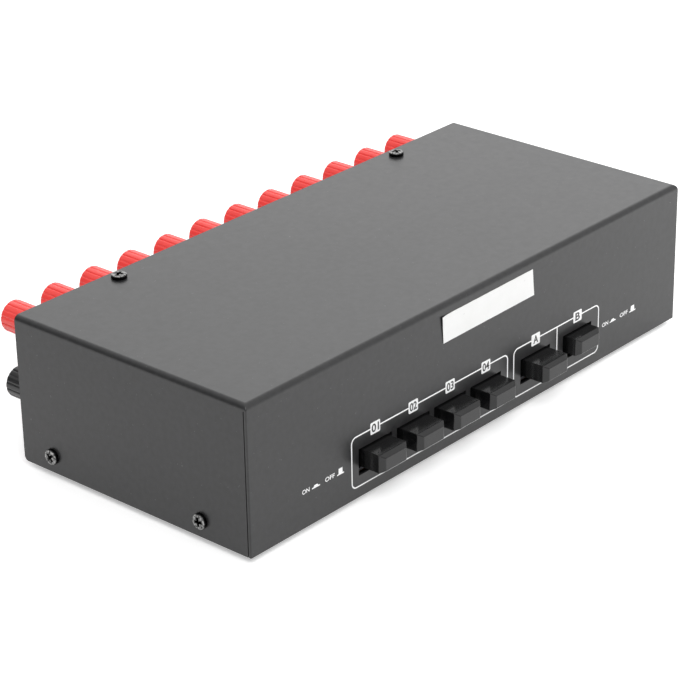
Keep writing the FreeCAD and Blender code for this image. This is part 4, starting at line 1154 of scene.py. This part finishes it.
def letter(bm, text, left, right_x, low_z, high_z, weight):
    """Add the glyphs of a text, fitted to a box on the front panel."""
    curve = bpy.data.curves.new("glyphs", "FONT")
    curve.body = text
    curve.offset = weight
    writing = add_object("glyphs", curve)
    bpy.context.view_layer.update()
    settled = writing.evaluated_get(bpy.context.evaluated_depsgraph_get())
    mesh = bpy.data.meshes.new_from_object(settled)
    xs = [vert.co.x for vert in mesh.vertices]
    ys = [vert.co.y for vert in mesh.vertices]
    across = (right_x - left) / (max(xs) - min(xs))
    upwards = (high_z - low_z) / (max(ys) - min(ys))
    stand = Matrix.Rotation(math.pi / 2, 4, "X")
    mesh.transform(Matrix.Translation((left, FRONT_Y, low_z)) @ stand @
                   Matrix.Diagonal((across, upwards, 1, 1)) @
                   Matrix.Translation((-min(xs), -min(ys), 0)))
    bm.from_mesh(mesh)
    bpy.data.objects.remove(writing)
    bpy.data.curves.remove(curve)
    bpy.data.meshes.remove(mesh)


badges = bmesh.new()
marks = bmesh.new()
for button_name, text in BADGE_MARKS.items():
    x = BUTTON_X[button_name]
    rounded_patch(badges, x - BADGE_WIDTH / 2, x + BADGE_WIDTH / 2, BADGE_Z - BADGE_HEIGHT / 2,
                  BADGE_Z + BADGE_HEIGHT / 2, radius=BADGE_CORNER, steps=5)
    wide = MARK_WIDTHS[len(text)]
    letter(marks, text, x - wide / 2, x + wide / 2, BADGE_Z - HALF_MARK, BADGE_Z + HALF_MARK,
           MARK_WEIGHT)
add_ink(badges, "printed_badges", white_ink, 2 * INK)
add_ink(marks, "badge_marks", dark_ink, 3 * INK)
print(len(BADGE_MARKS), "badges")

# %% [markdown]
# Beside the frames the plain words ON and OFF stand next to two signs: a button that is
# pushed in and one that stands out. The signs are a bar with a low or a high block on it.

# %% Print the legends
LETTER_LOW, LETTER_HIGH = BASE_Z + 13.6 * MM, BASE_Z + 15.35 * MM
PUSHED_LOW, RAISED_LOW = BASE_Z + 13.75 * MM, BASE_Z + 13.45 * MM
BAR = 0.45 * MM
PUSHED_SIGN = {"block_height": 0.75 * MM, "block_share": 0.65, "top_share": 0.55}
RAISED_SIGN = {"block_height": 2.1 * MM, "block_share": 0.6, "top_share": 0.9}
LETTER_WEIGHT = 0.014
LEGENDS = [
    {"on": (-100.6, -96.8), "pushed": (-95.5, -91.3), "off": (-88.5, -83.4), "raised": (-82.1, -78.4)},
    {"on": (77.2, 81.3), "pushed": (82.3, 86.4), "off": (89.2, 94.5), "raised": (95.8, 99.9)},
]


def push_sign(bm, span, base_z, block_height, block_share, top_share):
    """A bar with a block in its middle, narrower at the top."""
    left, right_x = (value * MM for value in span)
    middle = (left + right_x) / 2
    half_block = (right_x - left) * block_share / 2
    bar_top = base_z + BAR
    flat_patch(bm, left, right_x, base_z, bar_top)
    before = set(bm.verts)
    flat_patch(bm, middle - half_block, middle + half_block, bar_top, bar_top + block_height)
    upper = [vert for vert in bm.verts
             if vert not in before and vert.co.z > bar_top + block_height / 2]
    bmesh.ops.scale(bm, vec=(top_share, 1, 1), verts=upper,
                    space=Matrix.Translation((-middle, 0, 0)))


legends = bmesh.new()
for legend in LEGENDS:
    for word in ("ON", "OFF"):
        span = [value * MM for value in legend[word.lower()]]
        letter(legends, word, *span, LETTER_LOW, LETTER_HIGH, LETTER_WEIGHT)
    push_sign(legends, legend["pushed"], PUSHED_LOW, **PUSHED_SIGN)
    push_sign(legends, legend["raised"], RAISED_LOW, **RAISED_SIGN)
add_ink(legends, "printed_legends", white_ink, INK)
print(len(LEGENDS), "legends")

# %% [markdown]
# ## Parts inside
#
# The parts inside keep their meshes and get a finish each. A material is assigned to the
# frame's own objects, which may have new materials but not new shapes.

# %% Finish the parts inside
INSIDE = {
    frame_steel: ["input_switch_frame", "output_switch_frame", "latch_bar"],
    housing_plastic: ["input_switch_housings", "output_switch_housings"],
    resin_board: ["circuit_board", "insulating_strips"],
    nylon: ["board_supports"] + [f"plunger_{name}" for name in BUTTON_NAMES],
    brass: ["stud_nuts", "post_links"],
}
for material, nodes in INSIDE.items():
    for node in nodes:
        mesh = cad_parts[node].data
        mesh.materials.clear()
        mesh.materials.append(material)
print(sum(len(nodes) for nodes in INSIDE.values()), "parts finished inside")
